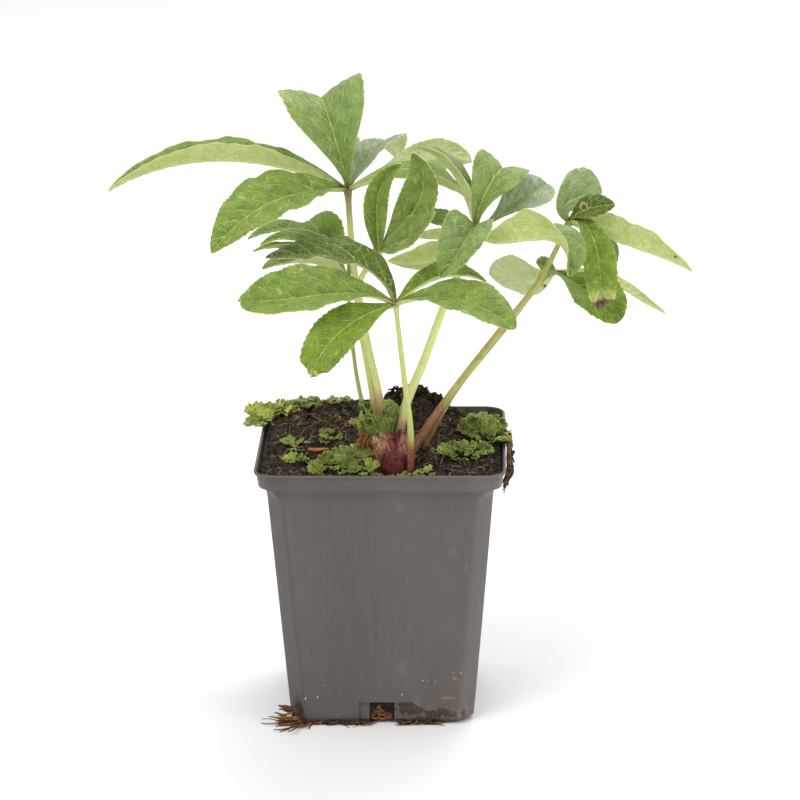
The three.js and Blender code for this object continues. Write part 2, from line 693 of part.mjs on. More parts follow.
function addPiece(name, solid, look) {
  const material = new THREE.MeshStandardMaterial({ ...LOOK[look], metalness: 0 });
  const mesh = new THREE.Mesh(toGeometry(solid), material);
  mesh.name = name;
  plant.add(mesh);
}

const stalkTools = Object.values(LEAVES).map((leaf) => makeStalk(leaf, GAP));
const crownTool = makeCrown(GAP);
const patches = LIVERWORT.map((patch) => makePatch(patch, [crownTool, ...stalkTools]));

addPiece('pot', makePot(), 'plastic');
addPiece('soil', makeSoil([crownTool, ...stalkTools]), 'peat');
addPiece('crown', mainBody(cut(makeCrown(), stalkTools)), 'bud');
Object.entries(LEAVES).forEach(([name, leaf]) => {
  addPiece(`stalk_${name}`, makeStalk(leaf), 'stalk');
  addPiece(`blade_${name}`, makeBlade(leaf, stalkTools), 'leaf');
});
patches.forEach((patch, i) => addPiece(`liverwort_${i + 1}`, patch, 'thallus'));
addPiece('liverwort_collar', makeCollar([crownTool, ...stalkTools]), 'thallus');
addPiece('bark_stick', makeStick(), 'root');
addPiece('root_tuft', makeRoots([potClearance()]), 'root');
addPiece('soil_spill', makeSpill([potClearance()]), 'peat');

export default plant;
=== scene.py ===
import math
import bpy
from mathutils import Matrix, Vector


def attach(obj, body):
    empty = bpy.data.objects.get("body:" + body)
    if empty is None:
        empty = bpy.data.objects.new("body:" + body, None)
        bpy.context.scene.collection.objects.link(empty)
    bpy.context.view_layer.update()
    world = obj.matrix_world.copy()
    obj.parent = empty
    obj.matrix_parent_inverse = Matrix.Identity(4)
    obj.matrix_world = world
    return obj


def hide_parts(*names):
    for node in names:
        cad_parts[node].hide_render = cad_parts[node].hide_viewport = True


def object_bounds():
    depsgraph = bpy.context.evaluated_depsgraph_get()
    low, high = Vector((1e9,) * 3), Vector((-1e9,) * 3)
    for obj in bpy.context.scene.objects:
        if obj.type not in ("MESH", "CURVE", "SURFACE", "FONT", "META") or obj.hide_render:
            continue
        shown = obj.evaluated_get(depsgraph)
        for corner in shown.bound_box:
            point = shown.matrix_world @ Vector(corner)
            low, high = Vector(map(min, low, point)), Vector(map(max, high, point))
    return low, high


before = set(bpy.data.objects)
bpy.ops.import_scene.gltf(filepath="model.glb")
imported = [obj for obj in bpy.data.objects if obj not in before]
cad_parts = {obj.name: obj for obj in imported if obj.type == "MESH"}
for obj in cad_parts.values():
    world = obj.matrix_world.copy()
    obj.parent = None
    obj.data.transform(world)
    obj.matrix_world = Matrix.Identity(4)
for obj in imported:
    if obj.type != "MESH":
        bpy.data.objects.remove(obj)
CAD_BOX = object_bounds()

# A young hellebore in a square nursery pot. Sizes are in millimetres, in the frame of the packed
# solids: +Z up, origin at the centre of the pot's base, -Y the front.
from types import SimpleNamespace as Sizes

import bmesh
import bpy
import numpy as np
from mathutils import Matrix

MM = 0.001
GAP = 0.3
LATTICE = 64

# The camera of a square frame: heading, dip and roll in radians, focal length and frame in pixels,
# and a full-size sensor.
CAMERA = Sizes(
    place=(36.563, -1290.362, 483.624), yaw=0.0233, pitch=0.2795, roll=-0.0064,
    focal=3685.1, frame=800, sensor=36.0,
)
# Place and target in metres, size and power of each light.
LIGHTS = {
    "key": ((-0.7, -0.9, 1.5), (0, 0, 0.12), 1.1, 12.5),
    "fill": ((1.1, -0.5, 0.9), (0, 0, 0.12), 1.0, 3.8),
    "back": ((0.3, 1.0, 1.3), (0, 0, 0.15), 1.2, 11.5),
}
STUDIO = Sizes(floor=9.0, white=0.94, sky=0.7)

POT = Sizes(
    height=98, rim_half=45, band_half=44.1, band_taper=0.5, rim_band=6.4, rim_radius=8, lip=0.55,
    body_half_top=40.7, body_half_base=33.2, chamfer=5.2, gusset=4.2, wall=1.1, floor=1.4, fillet=1.7,
    bulge=0.35, foot_wave=0.4, foot_arch=1.3, foot_heel=1.5, corner_steps=8, flat_steps=22,
)
LEDGE = POT.height - POT.rim_band
DRAIN = Sizes(width=9, panel=16.6, foot=0.9, height=7.6, recess=0.7, base_hole=6)

# The soil's height in front, its rise to the back and its edge; then how far the loose things on it
# reach, where the crown and the corners keep them off, and the square they follow along the rim.
SOIL = Sizes(
    front=94.8, rise=6.5, rise_from=-26, rise_to=32, edge=95.8, slope=1.1, grid=226,
    reach=41, crown=(6, -19), crown_radius=7, corner=36, corner_radius=6, rim=42.4, rim_corner=6.5,
)
# x, y, width, depth and height of the heaps on the soil.
HEAPS = [(11, 22, 13, 11, 9), (13, -13, 6.5, 7, 4.5), (4, -29, 7, 8, -4)]
HOLLOW = Sizes(x=14, y=20, run=16, depth=8)
# x, y, spread and count of the tufts of moss.
MOSS = [
    (-25, 15, 4, 70), (-29.7, 12.8, 1.2, 18), (12, 13.6, 2.2, 30), (21.6, 12.7, 1.6, 24),
    (38, -22, 3.5, 45), (-17, 18, 3, 30), (-36, 4, 2.5, 22), (5, 27, 3, 30),
]
# Where the stalks leave the soil.
FEET = [(15.8, -14.3), (12.5, -18.5), (-2.5, -12), (18, -15.5), (13.5, -25.5)]
# x, y and height of the tops of the ragged ridge behind the stalks.
RIDGE = [(3.7, 25, 6), (9.5, 22, 4.5), (12.7, 20, 6.5), (20.8, 20, 5), (15.5, 22, 4), (6, 24, 4.5)]
# x, y, radius and colour of single grains and bits of bark in the peat.
BITS = [
    (-13.9, 5.8, 0.6, "#e0cf9e"), (-11, -4.1, 0.9, "#e6d8ac"), (-27.1, -11.3, 0.8, "#d3b48c"),
    (29.9, -23, 0.7, "#dcd2a0"), (-39.4, 0.4, 0.6, "#b9bd5c"), (-25.7, 7.5, 1.0, "#c9ab7c"),
    (24.9, -33.5, 1.0, "#c98a3c"), (27.6, -33.2, 0.6, "#a5682e"), (19.5, -23.7, 1.9, "#5b4226"),
]
# Path, thickness and colour of the pale shoots and straws.
STRAWS = [
    ([(20.8, 9.5, 99.5), (20.3, 8, 102.5), (19.3, 7.3, 105.5)], 0.28, "#c3c98c"),
    ([(-11, -25, 96.4), (-8.5, -25.2, 97.6), (-5, -24.5, 97.8), (-2.2, -23.4, 96.6)], 0.22, "#cfc2a0"),
    ([(-10, -23.8, 97), (-7.5, -24.8, 98), (-4.5, -26, 97.2)], 0.2, "#c9bb98"),
    ([(-9.4, -22.5, 97), (-8, -24.5, 98), (-6.5, -27, 96.6)], 0.18, "#bfae8a"),
    ([(21.5, -22, 95.4), (22.2, -20, 97.4), (22.5, -18, 98)], 0.2, "#8a8a6c"),
]
# How many loose things lie on the peat, along its rim, round each stalk's foot, on the ridge and on
# each of the ridge's tops, and how many fibres there are.
LOOSE = Sizes(
    crumbs=3700, lumps=420, grains=420, bark=90, rim=260, foot=22, ridge=(110, 60), peak=14, fibres=460,
)
PEAT_TINTS = ["#1d1611", "#2b2118", "#403024", "#5a4331", "#7c5e48", "#241b13"]
GRAIN_TINTS = ["#c9a878", "#a9814f", "#d8c6a0", "#8c6a45"]
BARK_TINTS = ["#8f5a30", "#6e4428", "#a8703c"]
MOSS_TINTS = ["#5e6a2a", "#47521f", "#7b8a3c", "#39431c", "#6a5c2c"]
FIBRE_TINTS = ["#6b4a36", "#8d6844", "#b5946a", "#3b2a20", "#c4aa84"]
HUSK_TINTS = ["#b0743c", "#a8663a", "#8c5230", "#c99458"]
ROOT_TINTS = ["#8a5a2b", "#6b4325", "#a8703a", "#4d3220", "#b07c44", "#3a2518"]
SPILL_TINTS = ["#6a4a3a", "#7e5a46", "#4a3228", "#8f6a50", "#8c6a3c"]

BLADE = Sizes(thickness=0.5, edge=0.2, base_half=0.9, tip_half=0.35, row=0.52, column=0.82, tip=0.8)
TOOTH = Sizes(pitch=2.1, depth=0.75, start=0.38)
STALK_GRID = (76, 20)

# A leaf: the hub where its leaflets meet and their colour there; then its stalk, with its path up to
# the hub, its radii at both ends, its colours at foot, middle and top, how streaked it is and how
# far up the colour of the foot reaches.
# A leaflet: its tone, painted shade in deep green under 0, fresh green at 0 and a painted blue-grey
# sheen (on the under face painted light through the leaf) at 1; its three points after the hub, the way its
# upper side looks, its half width, and in degrees how steeply its halves rise at base, middle and tip;
# then, if they aren't the usual ones, where it is widest and its turn in degrees at base and tip.
LEAVES = {
    "tall": Sizes(
        hub=(-12, 4, 191), joint="#6b3f2c",
        stalk=[(-0.8, -14.5, 99), (-3, -12.6, 119), (-7, -6, 141), (-10.5, 2, 169)],
        radii=(1.6, 1.15), tints=("#dcb88e", "#d6dc88", "#6f5038"), streaks=0.22, flushed=0.2,
        leaflets=[
            (0.25, [(-15.5, 0, 208), (-20, 5, 221.2), (-20, 24, 213)],
             (0.08, -0.8, 0.6), 16, (42, 26, 15), 0.64),
            (0.2, [(-42, 2, 201), (-66, -2, 202.5), (-97, -8, 193)], (0, 0, 1), 8.6, (40, 58, 50), 0.48),
            (0.08, [(-28, -12, 193), (-43, -28, 190.5), (-58, -40, 178)],
             (-0.1, -0.5, 0.85), 12.5, (35, 18, 10), 0.5),
            (0.9, [(-6, 13, 199), (0, 24, 203.5), (5, 38, 195)], (-0.5, -0.6, 0.6), 9.2, (30, 15, 10), 0.46),
            (0.8, [(4, 10.5, 196), (20, 14, 200.2), (32.5, 17, 198)],
             (-0.1, 0.9, 0.5), 7.4, (30, 20, 10), 0.68),
            (0.25, [(1, 0, 196.3), (18, 0, 194.8), (33, 1, 187.4)], (0, 0, 1), 9, (32, 32, 20)),
            (0.3, [(-14, 22, 197), (-16, 40, 200), (-19, 58, 197)], (0, -0.3, 0.9), 7, (35, 25, 10)),
        ],
    ),
    "front": Sizes(
        hub=(6, -38, 159), joint="#a98a52",
        stalk=[(10.4, -25.5, 89), (10.9, -27.2, 107), (8.4, -33, 134)],
        radii=(1.35, 0.85), tints=("#a5283f", "#d4da80", "#cdd884"), streaks=0.05, flushed=0.19,
        leaflets=[
            (-0.75, [(-1, -34, 169), (-18, -30, 174.5), (-40, -28, 173.5)],
             (0, -0.12, 1), 11.6, (30, 18, 8), 0.55),
            (0.1, [(-10, -46, 165), (-27, -52, 165), (-48, -52, 164)], (0, -0.5, 0.85), 12, (35, 27, 15)),
            (0.0, [(-4.5, -50, 158), (-15, -60, 152.5), (-22.5, -65.4, 141)],
             (0.1, -0.6, 0.8), 8, (30, 18, 8)),
            (0.12, [(20, -48, 164), (35, -56, 163), (48, -60, 156)], (0.1, -0.4, 0.9), 9.5, (30, 20, 12)),
            (-0.1, [(14, -32, 164), (25, -28, 167), (38, -26, 164)], (0, -0.1, 1), 7.5, (35, 25, 12)),
        ],
    ),
    "back": Sizes(
        hub=(-13, 18, 154), joint="#7a4a34",
        stalk=[(-1, -9, 95), (-5.6, -8, 109), (-8.6, -3, 120), (-11, 6, 134)],
        radii=(0.9, 0.7), tints=("#a69a5c", "#aeb562", "#7d4f3c"), streaks=0.45, flushed=0.1,
        leaflets=[
            (0.15, [(-18, 17, 163), (-24, 19, 172.5), (-27, 27, 174)], (0, -1, 0.4), 8.8, (30, 8, 5), 0.65),
            (0.1, [(-22, 14, 169), (-33, 8, 175), (-48, 2, 173)], (0, -0.1, 1), 6, (35, 25, 12)),
            (0.0, [(-23, 22, 164), (-34, 24, 168), (-45, 24, 165)], (0, -0.1, 1), 5, (35, 25, 12)),
            (0.1, [(-22, 10, 164), (-34, 2, 170), (-46, -4, 170)], (0, 0.1, 1), 5, (35, 25, 12)),
            (0.3, [(-21, 8, 162), (-31, -4, 166), (-42, -14, 166)], (0, 0.1, 1), 7, (35, 25, 12)),
            (0.2, [(-10, 30, 158), (-8, 44, 157), (-9, 62, 153)], (0, 0, 1), 8, (35, 25, 12)),
        ],
    ),
    "middle": Sizes(
        hub=(35, -10, 178), joint="#b3ba6c",
        stalk=[(5.5, -19.5, 97), (8.4, -18, 114.6), (15.7, -16, 133), (24, -13, 155)],
        radii=(1.9, 1.3), tints=("#a9724c", "#e8ee98", "#c2d478"), streaks=0.08, flushed=0.14,
        leaflets=[
            (0.2, [(36, -12, 189.5), (41, -6, 197.6), (43, 10, 195.4)],
             (-0.1, -0.9, 0.4), 10, (45, 24, 15), 0.66),
            (1.0, [(44, -6, 185), (53, 0, 190), (59.5, 6, 192.5)],
             (-0.3, -0.8, 0.6), 8.3, (35, 20, 10), 0.72),
            (0.5, [(31, -8, 190), (24, -6, 202), (11, -4, 208.5)], (0.3, 0, 1), 5, (45, 40, 30), 0.5),
            (0.2, [(48, -18, 177), (62, -22, 178), (67, -26, 166)],
             (0, 0.6, 0.8), 12.3, (35, 35, 30), 0.56, (0, 60)),
            (0.25, [(33, -24, 183), (30, -38, 181), (22, -46, 171)], (0.1, -0.5, 0.85), 10.5, (48, 44, 32)),
            (0.4, [(28, -11, 181.5), (22, -10, 183), (13, -7, 185)], (0, -0.6, 0.8), 3.5, (30, 20, 10)),
            (0.3, [(28, -4, 176), (21, 0, 174), (13, 6, 173)], (0, 0.3, 1), 5, (30, 30, 30)),
            (0.2, [(28, 0, 170), (16, 8, 163), (2, 14, 162)], (0, 0.8, 0.6), 7, (30, 20, 10)),
        ],
    ),
    "right": Sizes(
        hub=(68, 8, 178), joint="#8c6a45",
        stalk=[(10, -17, 97.5), (18.8, -16.3, 111), (27.4, -13, 122.4), (43.4, -5.5, 141.5),
               (57.2, 1.5, 158)],
        radii=(1.6, 0.95), tints=("#8f5236", "#c0bc64", "#a09c54"), streaks=0.8, flushed=0.2,
        leaflets=[
            (0.5, [(65.6, 8, 182), (69.8, 12, 185.4), (79, 21, 181.5)], (-0.2, -1, 0.4), 10, (35, 14, 8)),
            (-0.5, [(72, 4, 182.5), (76, 0, 185), (84, -2, 186.5)], (0, -0.8, 0.5), 4.4, (35, 30, 12)),
            (0.3, [(82, 4, 173), (98, 0, 168), (112, -2, 162)], (0, 0.5, 0.9), 11, (35, 35, 25), 0.4),
            (0.0, [(75, -4, 177), (78, -12, 168), (79.5, -14, 152)], (0.1, -1, 0.3), 6.2, (35, 30, 20)),
            (0.3, [(77, 7, 176), (81.5, 5, 169), (80.5, 3, 156)], (0.9, -0.3, 0.3), 5, (35, 25, 12)),
        ],
    ),
    "inner": Sizes(
        hub=(-1, -10, 170), joint="#b3ba6c",
        stalk=[(2.6, -17.6, 99), (-0.9, -15.7, 121), (-5.6, -12.4, 143), (-7.4, -10, 160)],
        radii=(1.4, 1.1), tints=("#d09a78", "#e2e692", "#b4c66c"), streaks=0.2, flushed=0.26,
        leaflets=[
            (0.08, [(-1, -12, 184), (0, -12, 194), (8, -14, 204)], (-0.2, -1, 0.1), 4.8, (40, 35, 30), 0.5),
            (0.15, [(9, -13, 182), (15, -14, 193.5), (12, -20, 209.5)],
             (-0.2, -1, 0.2), 7, (35, 25, 20), 0.55),
            (0.15, [(6, -20, 176.5), (13, -28, 182), (20, -32, 191)], (0, -0.7, 0.7), 8, (35, 20, 10)),
        ],
    ),
    "low": Sizes(
        hub=(63, 14, 158), joint="#b3ba6c",
        stalk=[(13.6, -13, 95.5), (20.4, -12.3, 109), (27.8, -9, 120.7), (44.2, -1, 139.6), (58.2, 8, 155.8)],
        radii=(1.1, 0.85), tints=("#8f5638", "#b8b465", "#b2b26a"), streaks=0.7, flushed=0.2,
        leaflets=[
            (0.9, [(56, 20, 154), (47, 26, 153), (39, 30, 153)], (0, 0.9, 0.4), 9.5, (10, 5, 5)),
            (0.0, [(70, 8, 155), (78, 2, 150), (85, -4, 143)], (0, -0.4, 0.9), 10.5, (35, 25, 12)),
            (0.2, [(78, 20, 155.5), (91, 26, 147.5), (104, 30, 138)], (0, 0.6, 0.8), 2.3, (20, 20, 12)),
            (0.3, [(61, 10, 160), (58, 6, 162), (56, 2, 164.5)], (0, -0.8, 0.5), 3.2, (35, 25, 12)),
        ],
    ),
}
# Where a leaflet is widest and how it is turned, unless its row says otherwise.
WIDEST = 0.6
UNTURNED = (0, 0)

# How blunt the tips of some leaflets are, and how deep the ends of the torn ones are bitten.
BLUNT = {
    ("front", 1): 0.5, ("front", 2): 0.3, ("front", 3): 0.65, ("right", 3): 0.28, ("middle", 1): 0.4,
    ("tall", 0): 0.62, ("low", 0): 0.6, ("low", 1): 0.6, ("right", 0): 0.6, ("middle", 0): 0.42,
}
TORN = {("front", 2): 1.8, ("right", 3): 2.0, ("front", 1): 0.8}
# Leaf, leaflet, fraction along it, fraction across it and both radii of each brown blemish.
BLEMISHES = [
    ("right", 1, 0.45, -0.2, 1.3, 1.3), ("right", 2, 0.84, 0.25, 0.8, 1.1), ("right", 3, 1.0, 0.0, 4.3, 8.0),
    ("inner", 2, 0.55, 0.35, 0.8, 0.6), ("low", 0, 0.3, 0.5, 0.9, 0.9),
]

# Buds and stalk bases of the crown: from, to, and the radius at each end.
CROWN = [
    ((5.2, -21, 85), (5.4, -21.6, 100.5), (5.8, 4.6)),
    ((4.4, -20.4, 89), (-0.7, -17.4, 107.5), (3.8, 4.3)),
    ((6.4, -21, 88), (7.2, -18.8, 108), (4.0, 1.6)),
    ((9, -20, 86), (11, -17.5, 98), (4, 2.8)),
]
# The scale's cone, the way it faces and its half spread in radians, its height, and its colours.
SCALES = [
    (0, -0.5, 0.9, 0.98, ("#34120f", "#6c2a26")),
    (0, -1.4, 0.9, 1.04, ("#4c1618", "#883630")),
    (0, -2.3, 0.8, 0.96, ("#3c1214", "#6a2626")),
    (0, -3.0, 0.7, 0.85, ("#2c1010", "#4c1e1c")),
    (1, -0.4, 0.8, 0.96, ("#6a3426", "#c98c68")),
    (1, -1.1, 0.55, 1.0, ("#8c5638", "#e0b88a")),
    (1, -1.7, 0.5, 0.98, ("#8a3a34", "#d29a7c")),
    (1, -2.4, 0.6, 1.0, ("#7c2629", "#b85e50")),
    (2, -1.0, 0.7, 0.95, ("#5c1420", "#8a2c34")),
    (2, -1.9, 0.7, 1.0, ("#7c3a2c", "#c98c68")),
    (2, -2.8, 0.7, 0.97, ("#6a3a26", "#b98a60")),
    (3, -1.2, 1.0, 0.9, ("#2a1010", "#4a1c1a")),
]
HUSK = Sizes(top=(-5.6, -20.6, 106.6), foot=(-6.9, -21.4, 101.6), shreds=26)

# The patch a stand of lobes belongs to, its centre, half sizes, height over the soil and yellowness.
LIVERWORT = [
    (1, (-41, 27), (9.5, 10), 0.5, 0.9),
    (2, (-28, 31), (6.5, 5), 1.5, 0.2),
    (2, (-17, 33.5), (4, 2.5), 1.3, 0.5),
    (3, (-31.7, -5.8), (5, 5.6), 0.8, 0.25),
    (4, (-20, 1.2), (3.7, 4.6), 0.9, 0.15),
    (5, (-31, -22), (5.5, 4.6), 1.2, 0.35),
    (6, (-13.2, -20.5), (7.5, 8), 1.4, 0.2),
    (6, (-17, -32), (10.5, 4.6), 1.0, 0.25),
    (7, (-3.5, -33), (6, 4), 0.9, 0.5),
    (8, (15.5, -34.5), (4.5, 2.6), 0.8, 0.5),
    (8, (6.5, -36), (5, 2.4), 0.5, 0.45),
    (9, (30, -14.5), (10.8, 6.5), 1.2, 0.1),
    (10, (36.5, 6), (8, 11), 1.8, 0.15),
]
# Patch, root over the soil, heading in radians and length of the lobes that hang over the rim.
OVERHANGS = [
    (1, (-44, 20, 1.0), 3.3, 8.5), (1, (-46, 24, 0.8), 2.9, 6.0), (1, (-43, 16.5, 1.0), 3.8, 5.5),
    (10, (40, -5, 1.2), -0.1, 7.5), (10, (42, 2.5, 1.4), 0.1, 5.5),
]
# Patch, root, direction, length, width and yellowness of the lobes that stand up.
UPRIGHTS = [
    (1, (-47, 24, 98.8), (-0.3, 0.4, 0.8), 7.0, 4.2, 1.2),
    (1, (-43.5, 22, 98.8), (-0.1, 0.4, 0.8), 7.5, 4.8, 1.1),
    (1, (-39, 23, 98.8), (0.1, 0.4, 0.7), 6.5, 4.8, 0.7),
    (1, (-35, 24, 98.8), (0.4, 0.3, 0.6), 5.5, 4.2, 0.4),
    (2, (-30, 30, 100.6), (-0.2, 0.3, 0.8), 4.5, 4.0, 0.4),
    (2, (-25, 31, 101), (0.3, 0.3, 0.6), 4.0, 3.4, 0.3),
    (5, (-32, -22, 96), (-0.3, 0.4, 0.6), 4.0, 3.2, 0.5),
    (6, (-14, -20, 97), (-0.3, 0.4, 0.7), 5.0, 3.8, 0.4),
    (6, (-8, -21, 97.3), (0.4, 0.3, 0.7), 5.5, 4.2, 0.5),
    (6, (-19, -24, 96.4), (-0.5, 0.3, 0.6), 4.5, 3.4, 0.3),
    (6, (-13, -29, 96), (0.2, 0.3, 0.6), 5.0, 4.0, 0.3),
    (6, (-22, -33, 96), (-0.4, 0.1, 0.5), 4.5, 3.2, 0.5),
    (7, (-4, -31, 96), (0.3, 0.3, 0.7), 4.5, 3.4, 0.6),
    (9, (22, -15.5, 97.4), (-1, -0.05, 0.1), 5.5, 1.6, 0.5),
    (9, (25.5, -13, 96.6), (-0.3, 0.4, 0.6), 5.0, 4.0, 0.2),
    (9, (31, -12, 96.6), (0.1, 0.4, 0.6), 5.0, 4.4, 0.1),
    (9, (36, -13, 96.6), (0.5, 0.3, 0.5), 5.0, 3.6, 0.3),
    (10, (33.5, 3, 98.5), (-0.45, 0.3, 0.8), 8.0, 4.8, 0.1),
    (10, (38, 1, 98.5), (0.2, 0.3, 0.8), 8.0, 5.2, 0.1),
    (10, (40.5, 8, 99), (0.4, 0.2, 0.7), 6.5, 4.0, 0.3),
]
# Axis, first and last heading in degrees, radius and height at the hem and at the crest.
COLLAR = [
    ((-1.6, -14.6), (95, 262), (4.3, 106.0), (5.9, 116.6)),
    ((-0.7, -16.0), (184, 392), (5.4, 104.9), (7.2, 115.2)),
]
COLLAR_SMALL = 9
# Root, direction, upper side, length, width, yellowness and seed of the collar's large lobes: the
# tongue to the left, the flap on the right, its curled tip and a lobe below the tongue.
COLLAR_LOBES = [
    ((-7.4, -17, 109.4), (-1, -0.1, 0.08), (0, -0.5, 1), 4.4, 1.7, 0.85, 30),
    ((3.2, -20.6, 109.0), (0.06, 0.1, 1), (0, -1, 0.1), 10.0, 3.4, 0.15, 31),
    ((2.6, -21.2, 117.2), (0.0, -0.2, 0.8), (0, -1, -0.2), 2.8, 2.4, 1.0, 33),
    ((-6.6, -20.0, 109.5), (-0.7, -0.4, 0.3), (0, -0.6, 1), 3.6, 2.6, 0.8, 32),
]

STICK = Sizes(x=-23, y=-13, length=7.5, radius=0.8, rows=18, sides=14)
ROOT_KNOT = (-31.6, -31.6, 1.6)
# First and last x and number of the roots along the front of the foot, and of the crumbs among them
# with how far these reach forwards.
FRINGE = [(-32, -4, 92), (6, 20, 28)]
FOOT_CRUMBS = [(-33, -5, 190, 1.7), (6, 20, 80, 1.5)]
KNOT_CRUMBS = 50
DRAIN_ROOTS = 24
SPILL_STRANDS, SPILL_CRUMBS = 40, 150
# Start, tip, count, spread and thickness of the bunches of the root tuft.
ROOT_BUNCHES = [
    ((-32.4, -31.2, 4.8), (-39.0, -31, 5.6), 3, 0.3, 0.75),
    ((-32.4, -31.6, 3.4), (-38.0, -31.6, 3.5), 3, 0.3, 0.6),
    ((-30.0, -33.8, 2.0), (-42.2, -33.2, 2.7), 5, 0.4, 0.65),
    ((-31.0, -34.0, 1.1), (-45.2, -34.2, 0.5), 2, 0.15, 0.4),
    ((-29.0, -34.2, 1.3), (-39.5, -34.6, 1.2), 9, 0.6, 0.55),
    ((-31.0, -35.5, 0.9), (-38.5, -44, 0.5), 2, 0.2, 0.5),
    ((-28.5, -36.0, 0.8), (-36.2, -46, 0.5), 2, 0.2, 0.5),
    ((-25.5, -35.0, 0.8), (-27.8, -41, 0.6), 2, 0.2, 0.45),
]
SPILL = [(43.6, 1, 99.4), (46.2, -3, 98.2), (46.9, -12, 95.6), (46.0, -20, 92), (44.4, -26, 89)]
# x, height, half width, half height and strength of the marks on the front of the pot.
STAINS = [
    (9.4, 6.0, 5.2, 2.5, 1.4), (19.5, 3.6, 5.4, 2.9, 1.5), (-30.6, 6.0, 1.8, 3.8, 1.2),
    (-9, 0.6, 22, 1.1, 1.3), (10, 0.6, 16, 1.2, 1.3), (28, 3.4, 3.0, 1.6, 0.7),
]
RUST = [
    (24.1, 10.4, 3.0, 0.8, 1.05), (26.8, 18.2, 1.5, 0.9, 0.9), (25.9, 6.2, 0.5, 0.7, 0.9),
    (28.0, 4.1, 1.0, 2.2, 0.95), (30.6, 4.6, 0.4, 1.9, 1.0), (-16, 3.4, 0.7, 0.7, 1.1),
    (19.4, 17, 0.5, 0.7, 0.7), (16.1, 14.3, 0.5, 0.5, 0.7),
]
SPECKS = [
    (-27.7, 10.1, 0.3, 0.6, 1.2), (-23.3, 10.7, 0.3, 0.3, 0.9), (-20.5, 15.4, 0.3, 0.4, 0.7),
    (-2.4, 10.1, 0.3, 0.3, 0.9), (7.3, 11.9, 0.4, 0.4, 0.9), (14.9, 17.4, 0.3, 0.3, 1.0),
    (16.6, 17.3, 0.3, 0.3, 0.9), (28.6, 20.4, 0.3, 0.4, 1.0),
]


# Numbers.

def mix(a, b, t):
    return a + (b - a) * t


def smooth(t):
    t = np.clip(t, 0, 1)
    return t * t * (3 - 2 * t)


def unit(v):
    return v / np.maximum(np.linalg.norm(v, axis=-1, keepdims=True), 1e-9)


def stack(*parts):
    return np.stack(np.broadcast_arrays(*parts), -1)


def turns(count):
    return np.linspace(0, 2 * np.pi, count, endpoint=False)


def noise(x, y, cell, seed):
    """Smooth noise from -1 to 1 on a square lattice with the given cell."""
    table = np.random.default_rng(seed).uniform(-1, 1, (LATTICE, LATTICE))
    u, v = np.asarray(x) / cell, np.asarray(y) / cell
    i, j = np.floor(u).astype(int), np.floor(v).astype(int)
    s, t = smooth(u - i), smooth(v - j)

    def at(a, b):
        return table[a % LATTICE, b % LATTICE]

    return mix(mix(at(i, j), at(i + 1, j), s), mix(at(i, j + 1), at(i + 1, j + 1), s), t)


def lumps(x, y, cell, seed):
    """Domes on a jittered lattice, from -0.5 to 0.5 high, and a number from 0 to 1 for each."""
    rng = np.random.default_rng(seed)
    jitter = rng.uniform(0.1, 0.9, (LATTICE, LATTICE, 2))
    marks = rng.uniform(0, 1, (LATTICE, LATTICE))
    u, v = np.asarray(x) / cell, np.asarray(y) / cell
    i, j = np.floor(u).astype(int), np.floor(v).astype(int)
    best, mark = np.full(u.shape, 9.0), np.zeros(u.shape)
    for a, b in ((i + di, j + dj) for di in (-1, 0, 1) for dj in (-1, 0, 1)):
        spot = jitter[a % LATTICE, b % LATTICE]
        away = np.hypot(a + spot[..., 0] - u, b + spot[..., 1] - v)
        mark = np.where(away < best, marks[a % LATTICE, b % LATTICE], mark)
        best = np.minimum(best, away)
    return np.sqrt(np.maximum(1 - (best / 0.85) ** 2, 0)) - 0.5, mark


def colour(text):
    """A colour such as #6a615c, in linear light."""
    parts = [int(text[k:k + 2], 16) / 255 for k in (1, 3, 5)]
    return np.array([p / 12.92 if p <= 0.04045 else ((p + 0.055) / 1.055) ** 2.4 for p in parts])


def pick(rng, names, count):
    return np.array([colour(name) for name in names])[rng.integers(0, len(names), count)]


def soil_height(x, y):
    """The height of the soil, as in the solids."""
    back = SOIL.rise * smooth((y - SOIL.rise_from) / (SOIL.rise_to - SOIL.rise_from))
    heaped = sum(h * np.exp(-((x - cx) / w) ** 2 - ((y - cy) / d) ** 2) for cx, cy, w, d, h in HEAPS)
    sink = HOLLOW.depth * smooth((x - HOLLOW.x) / HOLLOW.run) * smooth((y - HOLLOW.y) / HOLLOW.run)
    crumbs = 0.55 * np.sin(0.55 * x + 1.1) * np.cos(0.47 * y) + 0.35 * np.sin(0.93 * x + 0.71 * y)
    edge = POT.rim_half - POT.wall - np.maximum(abs(x), abs(y))
    return np.minimum(SOIL.front + back + heaped - sink + crumbs, SOIL.edge + SOIL.slope * edge)


def rough_soil(x, y):
    """The soil's height with its lumps and crumbs, and a mark for each crumb."""
    x, y = np.asarray(x, float), np.asarray(y, float)
    big, _ = lumps(x, y, 3.6, 1)
    middle, mark = lumps(x + 0.4 * big, y, 1.8, 2)
    small, grain = lumps(x, y, 0.95, 3)
    keep = 0.6 + 0.4 * noise(x, y, 9.0, 5)
    rough = 0.5 * noise(x, y, 5.5, 6) + 0.4 * big + 0.7 * middle * keep + 0.42 * small
    return soil_height(x, y) + rough + 0.2 * noise(x, y, 0.55, 4), 0.35 * mark + 0.65 * grain


def on_soil(x, y, lift=0.0):
    return stack(x, y, rough_soil(x, y)[0] + lift)


def soil_places(rng, count):
    """Places on the soil, kept off the crown and the corners."""
    spots = rng.uniform(-SOIL.reach, SOIL.reach, (count * 2, 2))
    clear = np.hypot(*(spots - SOIL.crown).T) > SOIL.crown_radius
    corner = np.hypot(*np.maximum(abs(spots) - SOIL.corner, 0).T) < SOIL.corner_radius
    return on_soil(*spots[clear & corner][:count].T)


# Pieces.

